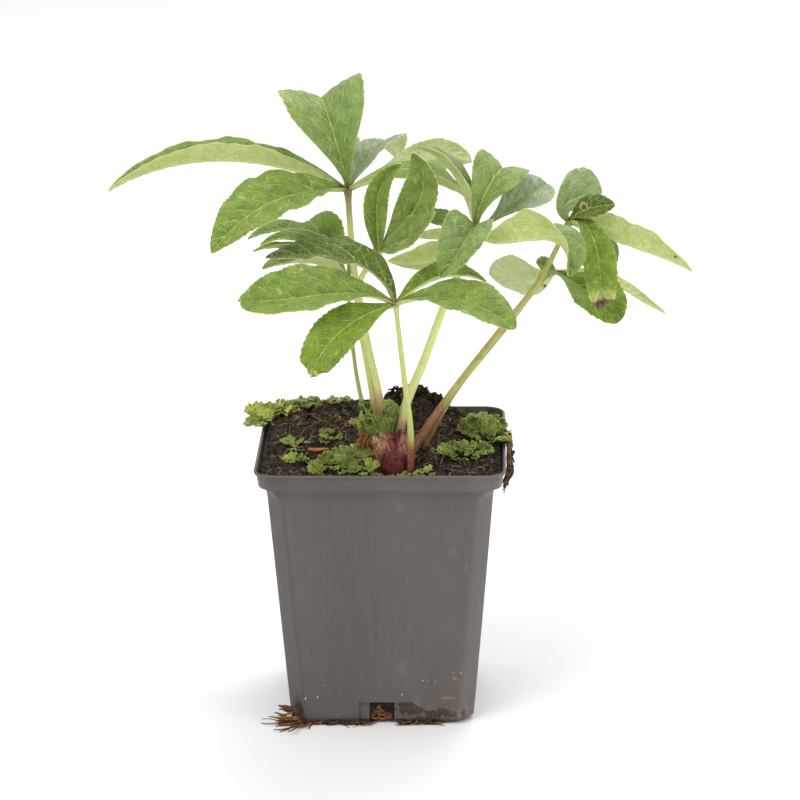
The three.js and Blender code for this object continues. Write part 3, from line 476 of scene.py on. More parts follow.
def added(name, data):
    """A new object in the scene."""
    thing = bpy.data.objects.new(name, data)
    bpy.context.scene.collection.objects.link(thing)
    return thing


class Shape:
    """Points and faces gathered into one mesh, with values at the points for the materials."""

    def __init__(self):
        self.points, self.faces, self.slots, self.values, self.count = [], [], [], {}, 0

    def add(self, points, parts, **values):
        """Adds points and lists of faces, each list with its material's number."""
        points = np.asarray(points, float).reshape(-1, 3)
        for faces, slot in parts:
            self.faces.append(np.asarray(faces, np.int64) + self.count)
            self.slots.append(np.full(len(faces), slot))
        for name, value in values.items():
            value = np.asarray(value, float)
            width = value.shape[-1] if value.ndim > 1 or value.shape == (3,) else 1
            flat = np.broadcast_to(value.reshape(-1, width), (len(points), width))
            self.values.setdefault(name, []).append(flat)
        self.points.append(points)
        self.count += len(points)

    def sheet(self, middle, over, under, slots=(0, 0), **values):
        """Adds a thin closed plate around a grid of points; a value is a grid, a row or one for all."""
        size = middle.shape[:2]
        normal = unit(np.cross(np.gradient(middle, axis=1), np.gradient(middle, axis=0)))
        top = middle + normal * np.broadcast_to(over, size)[..., None]
        bottom = middle - normal * np.broadcast_to(under, size)[..., None]
        for name, value in values.items():
            if np.size(value) > 3:
                value = np.atleast_3d(value)
                value = np.broadcast_to(value, (*size, value.shape[2]))
                values[name] = np.tile(value.reshape(-1, value.shape[2]), (2, 1))
        self.add([top, bottom], plate_parts(*size, *slots), **values)

    def tube(self, line, radii, sides, **values):
        self.add(*tube(line, radii, sides), **values)

    def build(self, name, materials=()):
        """The mesh, kept inside the box of the solids, as an object."""
        mesh = bpy.data.meshes.new(name)
        points = np.clip(np.vstack(self.points) * MM, *CAD_BOX)
        sizes = np.concatenate([np.full(len(f), f.shape[1]) for f in self.faces])
        loops = np.concatenate([f.ravel() for f in self.faces])
        mesh.vertices.add(len(points))
        mesh.vertices.foreach_set("co", points.ravel())
        mesh.loops.add(len(loops))
        mesh.loops.foreach_set("vertex_index", loops)
        mesh.polygons.add(len(sizes))
        mesh.polygons.foreach_set("loop_start", np.concatenate([[0], np.cumsum(sizes)[:-1]]))
        mesh.polygons.foreach_set("material_index", np.concatenate(self.slots))
        mesh.update(calc_edges=True)
        mesh.shade_smooth()
        for key, parts in self.values.items():
            values = np.vstack(parts)
            kind, field = ("FLOAT", "value") if values.shape[1] == 1 else ("FLOAT_VECTOR", "vector")
            mesh.attributes.new(key, kind, "POINT").data.foreach_set(field, values.ravel())
        for material in materials:
            mesh.materials.append(material)
        return added(name, mesh)

    def piece(self, name, materials, replaces=()):
        """The finished object, riding on the root body."""
        thing = self.build(name, materials)
        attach(thing, "root")
        if replaces:
            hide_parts(*replaces)
        return thing


def grid_faces(rows, columns, closed=False):
    """Quads of points stored row after row; a closed grid joins its last column to its first."""
    i, j = np.meshgrid(np.arange(rows - 1), np.arange(columns if closed else columns - 1), indexing="ij")
    a, b = i * columns + j, i * columns + (j + 1) % columns
    return np.stack([a, b, b + columns, a + columns], -1).reshape(-1, 4)


def grid_edge(rows, columns):
    """The walk round the edge of a grid."""
    last = (rows - 1) * columns
    return np.concatenate([
        np.arange(columns - 1),
        np.arange(rows - 1) * columns + columns - 1,
        last + np.arange(columns - 1, 0, -1),
        np.arange(rows - 1, 0, -1) * columns,
    ])


def plate_parts(rows, columns, top=0, bottom=0):
    """Faces of a thin plate whose upper points come first, then as many lower points."""
    faces = grid_faces(rows, columns)
    edge = grid_edge(rows, columns)
    after = np.roll(edge, -1)
    shift = rows * columns
    rim = np.stack([edge, edge + shift, after + shift, after], -1)
    return [(faces, top), (faces[:, ::-1] + shift, bottom), (rim, bottom)]


def fan(middle, ring):
    """Triangles from a middle point to the ring around it."""
    return np.stack([np.full(len(ring), middle), ring, np.roll(ring, -1)], -1)


def capped(rows, columns):
    """Faces of a closed grid, with both ends closed to the two points that follow it."""
    ring = np.arange(columns)
    foot = fan(rows * columns, ring)[:, [0, 2, 1]]
    head = fan(rows * columns + 1, ring + (rows - 1) * columns)
    return [(grid_faces(rows, columns, closed=True), 0), (foot, 0), (head, 0)]


def spline(path, count):
    """Points at even steps along a centripetal Catmull-Rom curve."""
    p = np.asarray(path, float)
    p = np.vstack([2 * p[0] - p[1], p, 2 * p[-1] - p[-2]])
    t = np.linspace(0, 1, 25)[:, None]
    fine = []
    for a, b, c, d in zip(p, p[1:], p[2:], p[3:]):
        k0, k1, k2 = (math.sqrt(np.linalg.norm(q - r)) for q, r in ((b, a), (c, b), (d, c)))
        m1 = ((b - a) / k0 - (c - a) / (k0 + k1) + (c - b) / k1) * k1
        m2 = ((c - b) / k1 - (d - b) / (k1 + k2) + (d - c) / k2) * k1
        fine.append(b + m1 * t + (3 * (c - b) - 2 * m1 - m2) * t ** 2 + (2 * (b - c) + m1 + m2) * t ** 3)
    return evenly(np.vstack(fine), count)


def steps(line):
    return np.linalg.norm(np.diff(line, axis=0), axis=1)


def evenly(line, count):
    """Points at even steps along a line of points."""
    run = np.concatenate([[0], np.cumsum(steps(line))])
    goal = np.linspace(0, run[-1], count)
    return np.stack([np.interp(goal, run, line[:, k]) for k in range(3)], -1)


def tangents(line):
    return unit(np.vstack([line[1] - line[0], line[2:] - line[:-2], line[-1] - line[-2]]))


def carried(along, start, first):
    """Directions square to a line, carried both ways from one place without turning round it."""
    up = np.zeros_like(along)
    up[first] = start
    ahead = [(i, i - 1) for i in range(first + 1, len(along))]
    back = [(i, i + 1) for i in range(first - 1, -1, -1)]
    for i, before in [(first, first), *ahead, *back]:
        up[i] = unit(up[before] - along[i] * np.dot(up[before], along[i]))
    return up


def tube(line, radii, sides, section=1.0):
    """Points and faces of a closed tube; `section` gives the radius factor at each angle."""
    along = tangents(line)
    side = carried(along, (0.31, -0.95, 0.1), 0)
    other = np.cross(along, side)
    angle = turns(sides)[:, None]
    reach = np.broadcast_to(np.asarray(radii)[:, None] * section, (len(line), sides))[..., None]
    ring = np.cos(angle) * side[:, None] + np.sin(angle) * other[:, None]
    points = (line[:, None] + reach * ring).reshape(-1, 3)
    return np.vstack([points, line[0], line[-1]]), capped(len(line), sides)


def ball(cuts):
    """Points and faces of a ball of triangles."""
    made = bmesh.new()
    bmesh.ops.create_icosphere(made, subdivisions=cuts, radius=1.0)
    points = np.array([v.co for v in made.verts])
    faces = np.array([[v.index for v in f.verts] for f in made.faces])
    made.free()
    return points, faces


def clumps(shape, rng, places, radii, tints, stretch=0.45, cuts=1):
    """Rough lumps of the given radii at the given places."""
    points, faces = ball(cuts)
    for place, radius, tint in zip(places, radii, tints):
        axes = unit(rng.normal(size=(3, 3)))
        scale = radius * rng.uniform(1 - stretch, 1 + stretch, 3)
        body = points * rng.uniform(0.72, 1.25, (len(points), 1)) * scale
        shape.add(body @ axes + place, [(faces, 0)], tint=tint)


def scatter(shape, rng, places, least, most, tints, stretch=0.45, cuts=1):
    """Lumps with radii and tints drawn at random."""
    count = len(places)
    clumps(shape, rng, places, rng.uniform(least, most, count), pick(rng, tints, count), stretch, cuts)


# Materials.

class Signal:
    """The output of a node; arithmetic on it adds Math nodes."""

    def __init__(self, look, socket):
        self.look, self.socket = look, socket

    def __abs__(self):
        return self.look.math("ABSOLUTE", self)

    def __add__(self, other):
        return self.look.math("ADD", self, other)

    def __sub__(self, other):
        return self.look.math("SUBTRACT", self, other)

    def __mul__(self, other):
        return self.look.math("MULTIPLY", self, other)

    def __pow__(self, other):
        return self.look.math("POWER", self, other)


class Look:
    """A material written as short calls, each giving a node's output; `base` is its colour so far."""

    def __init__(self, name, **settings):
        self.material = bpy.data.materials.new(name)
        self.material.use_nodes = True
        self.tree = self.material.node_tree
        self.shader = self.tree.nodes["Principled BSDF"]
        self.base = None
        for key, value in settings.items():
            self.shader.inputs[key.replace("_", " ")].default_value = value

    def node(self, kind, inputs, output=0, **settings):
        made = self.tree.nodes.new("ShaderNode" + kind)
        for key, value in settings.items():
            setattr(made, key, value)
        for key, value in inputs.items():
            self.feed(made.inputs[key], value)
        return Signal(self, made.outputs[output])

    def feed(self, socket, value):
        if isinstance(value, Signal):
            self.tree.links.new(value.socket, socket)
        elif isinstance(value, str):
            socket.default_value = (*colour(value), 1.0)
        else:
            socket.default_value = value

    def value(self, name):
        return self.node("Attribute", {}, 1, attribute_name=name)

    def number(self, name):
        return self.node("Attribute", {}, 2, attribute_name=name)

    def here(self):
        return self.node("TexCoord", {}, 3)

    def split(self, vector):
        made = self.node("SeparateXYZ", {0: vector}).socket.node
        return [Signal(self, output) for output in made.outputs]

    def join(self, x, y, z):
        return self.node("CombineXYZ", {0: x, 1: y, 2: z})

    def scaled(self, vector, scale):
        return self.node("VectorMath", {0: vector, 1: scale}, operation="MULTIPLY")

    def math(self, operation, a, b=0.0):
        return self.node("Math", {0: a, 1: b}, operation=operation)

    def step(self, value, low, high, start=0.0, end=1.0):
        """From start to end, smoothly, as the value goes from low to high."""
        fed = {0: value, 1: low, 2: high, 3: start, 4: end}
        return self.node("MapRange", fed, interpolation_type="SMOOTHSTEP")

    def blend(self, factor, a, b):
        return self.node("Mix", {0: factor, 6: a, 7: b}, 2, data_type="RGBA")

    def grain(self, vector, scale, detail=3.0, rough=0.55):
        return self.node("TexNoise", {"Vector": vector, "Scale": scale, "Detail": detail, "Roughness": rough})

    def cells(self, vector, scale, feature="DISTANCE_TO_EDGE"):
        return self.node("TexVoronoi", {"Vector": vector, "Scale": scale}, feature=feature)

    def paint(self, tone, value, *ramp):
        """Lays a tone over the base by a value, or by its step with the limits of `ramp`."""
        self.base = self.blend(self.step(value, *ramp) if ramp else value, self.base, tone)

    def wear(self, height, distance, strength=1.0, **links):
        """Feeds the shader the base colour, a bump and what else is named; gives the material."""
        normal = self.node("Bump", {"Height": height, "Distance": distance, "Strength": strength})
        for key, value in {"Base Color": self.base, "Normal": normal, **links}.items():
            self.feed(self.shader.inputs[key], value)
        return self.material


def make_leaf_look(name, tones, veins, relief, **settings):
    """One face of a leaf: dark and light fresh tones, then two tones of painted light, then the colours of
    its veins.
    """
    look = Look(name, **settings)
    across, along, seed = look.split(look.value("leaf_at"))
    phase, size, s = look.split(look.value("leaf_vein"))
    tone, blemish = look.number("tone"), look.number("blemish")
    flat = look.join(across, along, seed)
    rib = look.step(abs(across) + s * 0.35, 0.3, relief.rib, 1.0, 0.0)
    warp = (look.grain(flat, 0.5, 2.0) - 0.5) * 0.3
    side = look.step(abs(look.math("FRACT", phase + warp) - 0.5), 0.014, 0.068, 1.0, 0.0)
    side = side * look.step(size, 0.45, 0.95, 1.0, 0.25)
    net = look.step(look.cells(flat, 0.36), 0.0, 0.065, 1.0, 0.0)
    net = look.math("MAXIMUM", net, look.step(look.cells(flat, 0.8), 0.0, 0.1, 0.5, 0.0))
    patchy = look.step(look.grain(flat, 0.2, 5.0), 0.25, 0.75)
    # A tone towards 1 mixes in the last two tones, which are painted light: a blue-grey sheen on the upper
    # face and light shining through on the under face.
    look.base = look.blend(tone, look.blend(patchy, *tones[:2]), look.blend(patchy, *tones[2:]))
    # Painted shade in deep green for a tone under 0, then the net, the side veins, the midrib, the edge and
    # the hub.
    look.paint("#35500f", tone, -0.6, 0.0, 0.75, 0.0)
    look.paint(veins[0], net * relief.net)
    look.paint(veins[1], side * relief.side)
    look.paint(veins[2], rib * 0.85)
    look.paint(veins[1], size, 0.955, 1.0, 0.0, 0.6)
    look.paint(look.value("joint"), s, 0.0, 0.09, 0.8, 0.0)
    # Blemishes, brown inside a pale rim.
    look.paint("#c6cf78", blemish, 0.03, 0.16, 0.0, 0.85)
    harm = blemish + (look.grain(flat, 0.9) - 0.5) * 0.5
    look.paint("#c9c086", harm, 0.25, 0.5, 0.0, 0.8)
    look.paint(look.blend(look.step(look.grain(flat, 1.4), 0.4, 0.6), "#54392f", "#9a7c68"), harm, 0.45, 0.7)
    height = look.grain(flat, 1.6, 3.0) + (side + net * 0.8) * relief.sign
    rough = look.step(look.grain(flat, 0.35), 0.3, 0.7, relief.rough, relief.rough + 0.16)
    return look.wear(height, relief.bump, Roughness=rough)


def make_leaf_looks():
    glow = {"Subsurface_Weight": 0.15, "Subsurface_Radius": (0.7, 1.0, 0.3), "Subsurface_Scale": 0.002,
            "Specular_IOR_Level": 0.38}
    # Of each face's four tones, the last two are painted light: sheen on the upper face and light through the
    # leaf on the under face.
    upper = make_leaf_look(
        "leaf_upper", ("#5a7610", "#88a420", "#8ea285", "#b8c6b0"), ("#b8cc72", "#c8d67a", "#d0da80"),
        Sizes(rib=0.62, net=0.6, side=0.85, sign=-0.7, rough=0.3, bump=0.0005), **glow)
    under = make_leaf_look(
        "leaf_under", ("#b8c96c", "#d2de8c", "#d0dba4", "#e8f0c8"), ("#a4b860", "#dce4a4", "#e0e6a8"),
        Sizes(rib=1.2, net=0.35, side=0.5, sign=0.7, rough=0.52, bump=0.00025), **glow)
    return upper, under


def make_stalk_look():
    look = Look("leaf_stalk", Roughness=0.4)
    at, look.base, flush = look.value("stalk_at"), look.value("tint"), look.number("flush")
    streak = look.grain(look.scaled(at, (3.0, 3.0, 0.3)), 1.4, 4.0)
    look.paint("#9aa350", streak, 0.45, 0.75, 0.0, 0.35)
    look.paint("#ecefbe", streak, 0.3, 0.5, 0.4, 0.0)
    dark = look.grain(look.scaled(at, (4.0, 4.0, 0.16)), 1.5, 3.0)
    look.paint("#7c4f3a", look.step(dark, 0.48, 0.68) * flush)
    spots = look.cells(look.scaled(at, (2.0, 2.0, 0.9)), 2.4, "F1")
    look.paint("#6b3d30", look.step(spots, 0.1, 0.2, 0.8, 0.0) * flush)
    return look.wear(streak, 0.0002, 0.6)


def make_crown_look():
    look = Look("crown_scale", Roughness=0.48)
    at, look.base = look.value("stalk_at"), look.value("tint")
    streak = look.grain(look.scaled(at, (4.0, 4.0, 0.2)), 1.1, 5.0, 0.65)
    look.paint("#4c161c", streak, 0.5, 0.66, 0.0, 0.7)
    look.paint("#c08a6a", streak, 0.34, 0.46, 0.4, 0.0)
    look.paint("#2a1712", look.grain(look.scaled(at, (1.0, 1.0, 0.6)), 0.9, 4.0, 0.65), 0.47, 0.64, 0.0, 0.75)
    return look.wear(streak, 0.0004)


def make_thallus_look():
    look = Look("liverwort_thallus", Roughness=0.3)
    side, ahead, seed = look.split(look.value("thallus_at"))
    here = look.here()
    patchy = look.step(look.grain(here, 300.0, 4.0), 0.36, 0.64)
    green, lime = look.blend(patchy, "#3c5c1c", "#88a94a"), look.blend(patchy, "#b0b93e", "#e4e67e")
    look.base = look.blend(look.number("fresh"), green, lime)
    look.paint("#aac474", look.grain(look.join(side * 5.0, ahead, seed), 1.6, 2.0), 0.5, 0.62, 0.0, 0.4)
    look.paint("#44602a", abs(side), 0.0, 0.12, 0.5, 0.0)
    brown = look.grain(here, 170.0, 3.0)
    rim = look.blend(look.step(brown, 0.5, 0.6), "#c4d068", "#b08a44")
    look.paint(rim, look.number("edge"), 0.7, 1.0, 0.0, 0.75)
    look.paint("#8a7338", brown, 0.56, 0.68, 0.0, 0.7)
    return look.wear(look.step(look.cells(here, 1900.0), 0.0, 0.3) + look.grain(here, 700.0), 0.0002)


def make_peat_look():
    look = Look("peat", Roughness=0.95)
    here, look.base = look.here(), look.value("tint")
    grain = look.grain(here, 700.0, 5.0, 0.7)
    look.paint("#15100d", grain, 0.35, 0.68, 0.75, 0.0)
    look.paint("#8a6c50", look.cells(here, 1500.0, "F1"), 0.08, 0.22, 0.55, 0.0)
    return look.wear(grain, 0.0011)


def make_grain_look(name, rough, dark, scale, distance):
    """Small grained things that bring their own colour: crumbs, roots and bark."""
    look = Look(name, Roughness=rough)
    grain = look.grain(look.here(), scale, 4.0, 0.65)
    look.base = look.blend(look.step(grain, 0.3, 0.7, 0.25, 1.0), dark, look.value("tint"))
    return look.wear(grain, distance)


def make_pot_look():
    look = Look("pot_plastic", Roughness=0.45)
    here = look.here()
    x, y, height = place = look.split(here)

    def drawn(share, scale, *detail):
        return look.grain(look.scaled(here, (1.0, 1.0, share)), scale, *detail)

    streaks = drawn(0.05, 700.0, 2.0)
    look.base = look.blend(look.step(drawn(0.4, 22.0, 3.0), 0.3, 0.7), "#534c48", "#5c5550")
    look.paint("#7d7770", streaks, 0.4, 0.75, 0.0, 0.08)
    # The bevelled corners: painted shade on the left one and a painted reflection, lighter, on the right one.
    slope = (POT.body_half_top - POT.body_half_base) / LEDGE
    corner = abs(x) + abs(y) - height * (2 * slope)
    facet = (2 * POT.body_half_base - POT.chamfer) * MM
    facing = look.blend(look.step(x, -0.01, 0.01), "#38342f", "#726d68")
    look.paint(facing, corner, facet - 0.0012, facet - 0.0002, 0.0, 0.28)
    # Pale dust and scuffs, then the marks on the front and the dirt along the foot.
    dust = look.step(look.cells(look.scaled(here, (1.0, 1.0, 0.7)), 130.0, "F1"), 0.04, 0.085, 1.0, 0.0)
    look.paint("#b3a89a", dust * look.step(look.grain(here, 60.0), 0.5, 0.62, 0.0, 0.75))
    look.paint("#7e7973", drawn(0.5, 75.0, 5.0, 0.7), 0.6, 0.72, 0.0, 0.3)
    soil = look.blend(look.step(look.grain(here, 800.0, 5.0, 0.75), 0.46, 0.66), "#22170f", "#654735")
    smear(look, place, STAINS, look.grain(here, 300.0, 5.0, 0.65), soil, 0.9)
    specks = drawn(0.6, 1100.0, 4.0, 0.7)
    smear(look, place, RUST, specks, "#8e6740", 0.8)
    smear(look, place, SPECKS, specks, "#cdbf9f", 0.9)
    low = look.grain(here, 160.0, 5.0, 0.65) + look.step(height, 0.0, 0.006, 0.3, -0.3)
    look.paint("#33241a", low, 0.66, 0.78, 0.0, 0.8)
    rough = look.step(look.grain(here, 160.0, 4.0), 0.3, 0.7, 0.38, 0.52)
    return look.wear(streaks + look.grain(here, 1800.0) * 0.5, 0.0001, Roughness=rough)


def smear(look, place, spots, ragged, tone, strength):
    """Ragged marks on the front of the pot."""
    x, y, height = place
    total = clean = -1.6
    for cx, cz, rx, rz, depth in spots:
        dx = (x - cx * MM) * (1 / (rx * MM))
        dz = (height - cz * MM) * (1 / (rz * MM))
        total = look.math("MAXIMUM", total, look.step(dx ** 2.0 + dz ** 2.0, 0.0, 2.6, 0.9 * depth, clean))
    total = total + look.step(y, -0.031, -0.029, 0.0, -3.0) + (ragged - 0.5) * 7.0
    look.paint(tone, total, 0.2, 0.7, 0.0, strength)


# Pot.

def body_half(z):
    return mix(POT.body_half_base, POT.body_half_top, z / LEDGE)


def arc(cx, cy, radius, first, last, count):
    angle = np.linspace(first, last, count)
    return stack(cx + radius * np.cos(angle), cy + radius * np.sin(angle))


def corner_points(half, corner, rounded):
    """The corner between the +X and +Y sides: an arc, or a chamfer with a fillet at both edges."""
    quarter, count = math.pi / 2, POT.corner_steps
    if rounded:
        return arc(half - corner, half - corner, corner, 0, quarter, count)
    fillet = min(POT.fillet, corner)
    start = half - corner - fillet * math.tan(math.pi / 8)
    return np.vstack([
        arc(half - fillet, start, fillet, 0, quarter / 2, count // 2),
        arc(start, half - fillet, fillet, quarter / 2, quarter, count // 2),
    ])


def pot_ring(half, corner, z, rounded, bulge=0.0, lift=0.0):
    """One ring round the pot: for each side a corner and then the flat after it, the +Y side first."""
    points = corner_points(half, corner, rounded)
    share = np.arange(1, POT.flat_steps + 1)[:, None] / (POT.flat_steps + 1)
    flat = mix(points[-1], np.array([-points[0][1], points[0][0]]), share)
    x, y = np.vstack([points, flat]).T
    y = y + bulge * np.maximum(1 - (x / half) ** 2, 0) * (y > half - 0.01)
    arch = POT.foot_arch * np.exp(-((x + 0.8) / 5) ** 2)
    ring = []
    for side in range(4):
        c, s = math.cos(side * math.pi / 2), math.sin(side * math.pi / 2)
        turned = stack(x * c - y * s, x * s + y * c)
        wave = POT.foot_wave * (0.5 + 0.5 * np.sin(0.33 * x + 2.1 * side))
        heel = POT.foot_heel * smooth((turned[:, 0] - turned[:, 1] - 52) / 10)
        ring.append(np.column_stack([turned, z + lift * (wave + arch + heel)]))
    return np.vstack(ring)


def pot_profile():
    """Rings from the foot up the outside, over the lip and down the inside to the floor."""
    top, wall, half, band = POT.height, POT.wall, POT.rim_half, POT.band_half
    radius, chamfer, lip, foot = POT.rim_radius, POT.chamfer, POT.lip, POT.band_half - POT.band_taper
    rings = [
        (body_half(0) - 0.7, chamfer - 0.2, 0, False, 0, 1),
        (body_half(0) - 0.12, chamfer, 0.12, False, 0, 1),
        (body_half(0.7), chamfer, 0.7, False, 0, 0.8),
    ]
    for z in np.linspace(2.2, LEDGE - POT.gusset, 24):
        rings.append((body_half(z), chamfer, z, False, POT.bulge * math.sin(math.pi * z / LEDGE)))
    for share in (0.12, 0.9):
        z = LEDGE - POT.gusset * (1 - share)
        rings.append((body_half(z), mix(chamfer, 2.0, share), z, False))
    rings += [
        (body_half(LEDGE) + 0.1, 1.9, LEDGE - 0.2, False),
        (body_half(LEDGE) + 0.6, 2.6, LEDGE, False),
        (foot - 0.7, radius - 0.7, LEDGE, True),
        (foot - 0.2, radius - 0.1, LEDGE + 0.2, True),
        (foot, radius, LEDGE + 0.7, True),
        (band, radius, top - 1.9, True),
        (band + 0.08, radius, top - 1.6, True),
        (half - 0.25, radius, top - 1.2, True),
    ]
    for angle in (math.pi * (k - 0.5) / 4.5 for k in range(6)):
        inset = lip * (1 - math.cos(angle))
        rings.append((half - inset, radius - inset, top - lip + lip * math.sin(angle), True))
    rings += [
        (half - wall - 0.1, radius - wall, top - 3, True),
        (foot - wall, radius - wall, LEDGE + wall, True),
        (body_half(LEDGE) - wall, chamfer - 0.4, LEDGE + wall, False),
        (body_half(POT.floor) - wall, chamfer - 0.4, POT.floor, False),
    ]
    return np.array([pot_ring(*ring) for ring in rings])


def drain_cutter():
    """Boxes for the slot and panel at the foot of each side and the holes in the base."""
    shape = Shape()
    face, height, hole = POT.body_half_base, DRAIN.height, DRAIN.base_hole
    boxes = [
        ((DRAIN.width, 4 * POT.wall, height), (0, -face, DRAIN.foot + height / 2)),
        ((DRAIN.panel, 2 * DRAIN.recess, 2 * (height + 1)), (0, -face - 0.3, 0)),
        ((hole, hole, 4 * POT.floor), (0, -face / 2, 0)),
    ]
    square = ((-0.5, -0.5), (0.5, -0.5), (0.5, 0.5), (-0.5, 0.5))
    corners = np.array([[x, y, z] for z in (-0.5, 0.5) for x, y in square])
    faces = [(0, 3, 2, 1), (4, 5, 6, 7), (0, 1, 5, 4), (1, 2, 6, 5), (2, 3, 7, 6), (3, 0, 4, 7)]
    for side in range(4):
        c, s = math.cos(side * math.pi / 2), math.sin(side * math.pi / 2)
        turn = np.array([[c, -s, 0], [s, c, 0], [0, 0, 1]])
        for size, centre in boxes:
            shape.add((corners * size + centre) @ turn.T, [(faces, 0)])
    return shape


def make_pot(material):
    rings = pot_profile()
    shape = Shape()
    shape.add(np.vstack([rings.reshape(-1, 3), (0, 0, 0.4), (0, 0, POT.floor)]), capped(*rings.shape[:2]))
    pot = shape.piece("pot_shell", [material], ["pot"])
    cutter = drain_cutter().build("cutter")
    cut = pot.modifiers.new("drains", "BOOLEAN")
    cut.operation, cut.object, cut.solver, cut.use_self = "DIFFERENCE", cutter, "EXACT", True
    graph = bpy.context.evaluated_depsgraph_get()
    pot.data = bpy.data.meshes.new_from_object(pot.evaluated_get(graph))
    pot.modifiers.clear()
    bpy.data.meshes.remove(cutter.data)
    pot.data.shade_smooth()
    pot.data.set_sharp_from_angle(angle=math.radians(34))


# Soil.

def rounded_square(a, b, half, corner):
    """Places on a square grid, pressed into a square with round corners."""
    big = np.maximum(np.maximum(abs(a), abs(b)), 1e-9)[..., None]
    edge = stack(a, b) / big * half
    core = np.clip(edge, corner - half, half - corner)
    return np.moveaxis((core + unit(edge - core) * corner) * big, -1, 0)


def make_soil(material):
    span = np.linspace(-1, 1, SOIL.grid)
    a, b = np.meshgrid(span, span)
    inset = POT.wall + GAP
    half = POT.rim_half - inset - 0.4
    x, y = rounded_square(a, b, half, POT.rim_radius - inset)
    z, mark = rough_soil(x, y)
    border = np.maximum(abs(a), abs(b))
    z = mix(z, np.minimum(z, SOIL.edge + 0.4), smooth((border - 0.93) / 0.07))
    tint = mix(colour("#1c140f"), colour("#6b4f3b"), (mark ** 2)[..., None])
    for cx, cy, spread, _ in MOSS:
        near = np.exp(-((x - cx) ** 2 + (y - cy) ** 2) / (1.3 * spread) ** 2)
        near = near * (0.5 + 0.5 * noise(x, y, 1.4, 8))
        tint = mix(tint, colour("#4b4a22"), 0.8 * near[..., None])
    top = stack(x, y, z).reshape(-1, 3)
    edge = grid_edge(SOIL.grid, SOIL.grid)
    n, ledge, floor = len(edge), LEDGE + inset, POT.floor + GAP
    rings = [(half - 0.3, ledge + 0.2), (body_half(ledge) - inset, ledge), (body_half(2) - inset, floor)]
    below = [np.column_stack([top[edge, :2] * (reach / half), np.full(n, level)]) for reach, level in rings]
    points = np.vstack([top, *below, (0, 0, floor)])
    rows = [edge] + [len(top) + k * n + np.arange(n) for k in range(3)]
    sides = np.vstack([np.stack([u, d, np.roll(d, -1), np.roll(u, -1)], -1) for u, d in zip(rows, rows[1:])])
    parts = [(grid_faces(SOIL.grid, SOIL.grid), 0), (sides, 0), (fan(len(points) - 1, rows[-1][::-1]), 0)]
    tints = np.vstack([tint.reshape(-1, 3), np.tile(colour("#2b2019"), (3 * n + 1, 1))])
    shape = Shape()
    shape.add(points, parts, tint=tints)
    shape.piece("peat_bed", [material], ["soil"])


def make_crumbs(material):
    rng = np.random.default_rng(11)
    shape = Shape()
    scatter(shape, rng, soil_places(rng, LOOSE.crumbs), 0.25, 0.65, PEAT_TINTS)
    places = soil_places(rng, LOOSE.lumps)
    radii = (rng.gamma(2.2, 0.25, len(places)) + 0.4).clip(0.4, 1.25)
    clumps(shape, rng, places, radii, pick(rng, PEAT_TINTS[:5], len(places)), cuts=2)
    scatter(shape, rng, soil_places(rng, LOOSE.grains) + [0, 0, 0.4], 0.16, 0.42, GRAIN_TINTS)
    scatter(shape, rng, soil_places(rng, LOOSE.bark) + [0, 0, 0.3], 0.35, 0.8, BARK_TINTS, 0.7)
    turn = rng.uniform(-np.pi, np.pi, LOOSE.rim)
    way = stack(np.cos(turn), np.sin(turn))
    way = way / abs(way).max(1, keepdims=True) * rng.uniform(0.965, 1.0, (LOOSE.rim, 1))
    scatter(shape, rng, on_soil(*rounded_square(*way.T, SOIL.rim, SOIL.rim_corner)), 0.3, 0.7, PEAT_TINTS)
    for foot in FEET:
        spots = foot + rng.normal(0, 1.3, (LOOSE.foot, 2))
        scatter(shape, rng, on_soil(*spots.T, 0.3), 0.4, 1.0, PEAT_TINTS)
    for x, y, radius, tone in BITS:
        clumps(shape, rng, [on_soil(x, y, 0.4 * radius)], [radius], [colour(tone)], 0.25, cuts=2)
    shape.piece("peat_crumbs", [material])


def make_ridge(material):
    """The ragged lumps of peat behind the stalks."""
    rng = np.random.default_rng(12)
    shape = Shape()
    spread, middle = LOOSE.ridge
    t = np.concatenate([rng.uniform(-1, 1, spread), rng.normal(0, 0.3, middle)])
    x, y, _ = (stack(12.5 + 14 * t, 24 - 9 * abs(t), 0) + rng.normal(0, 1.5, (len(t), 3))).T
    spots = on_soil(x, y, rng.uniform(-0.3, 1.3, len(t)))
    scatter(shape, rng, spots, 0.5, 1.25, PEAT_TINTS[:4], 0.65, cuts=2)
    for x, y, height in RIDGE:
        top = np.array([x, y, soil_height(x, y)])
        for _ in range(LOOSE.peak):
            spot = top + rng.normal(0, 0.8, 3) + [0, 0, rng.uniform(0, height * 0.6)]
            scatter(shape, rng, [spot], 0.4, 1.0, PEAT_TINTS[:3], 0.7)
    shape.piece("peat_ridge", [material])


def make_moss(material):
    rng = np.random.default_rng(13)
    shape = Shape()
    for cx, cy, spread, count in MOSS:
        x, y = cx + rng.normal(0, spread / 2, count), cy + rng.normal(0, spread / 2, count)
        scatter(shape, rng, on_soil(x, y, 0.25), 0.2, 0.55, MOSS_TINTS, 0.6)
    shape.piece("moss_tufts", [material])


def make_fibres(material):
    """Fine roots and stalks in the surface of the peat."""
    rng = np.random.default_rng(23)
    shape = Shape()
    limit = POT.rim_half - 2.5
    for x, y, z in soil_places(rng, LOOSE.fibres):
        heading, length = rng.uniform(0, 2 * np.pi), rng.uniform(2, 7)
        path = [(x, y, z - 0.4)]
        for _ in range(3):
            heading += rng.normal(0, 0.6)
            x, y = x + length / 3 * math.cos(heading), y + length / 3 * math.sin(heading)
            x, y = np.clip((x, y), -limit, limit)
            path.append(on_soil(x, y, rng.uniform(0.0, 0.9)))
        shape.tube(spline(path, 8), np.linspace(0.17, 0.06, 8), 4, tint=pick(rng, FIBRE_TINTS, 1)[0])
    for path, radius, tone in STRAWS:
        shape.tube(spline(path, 14), np.linspace(radius, radius * 0.5, 14), 6, tint=colour(tone))
    shape.piece("peat_fibres", [material])


# Leaves.

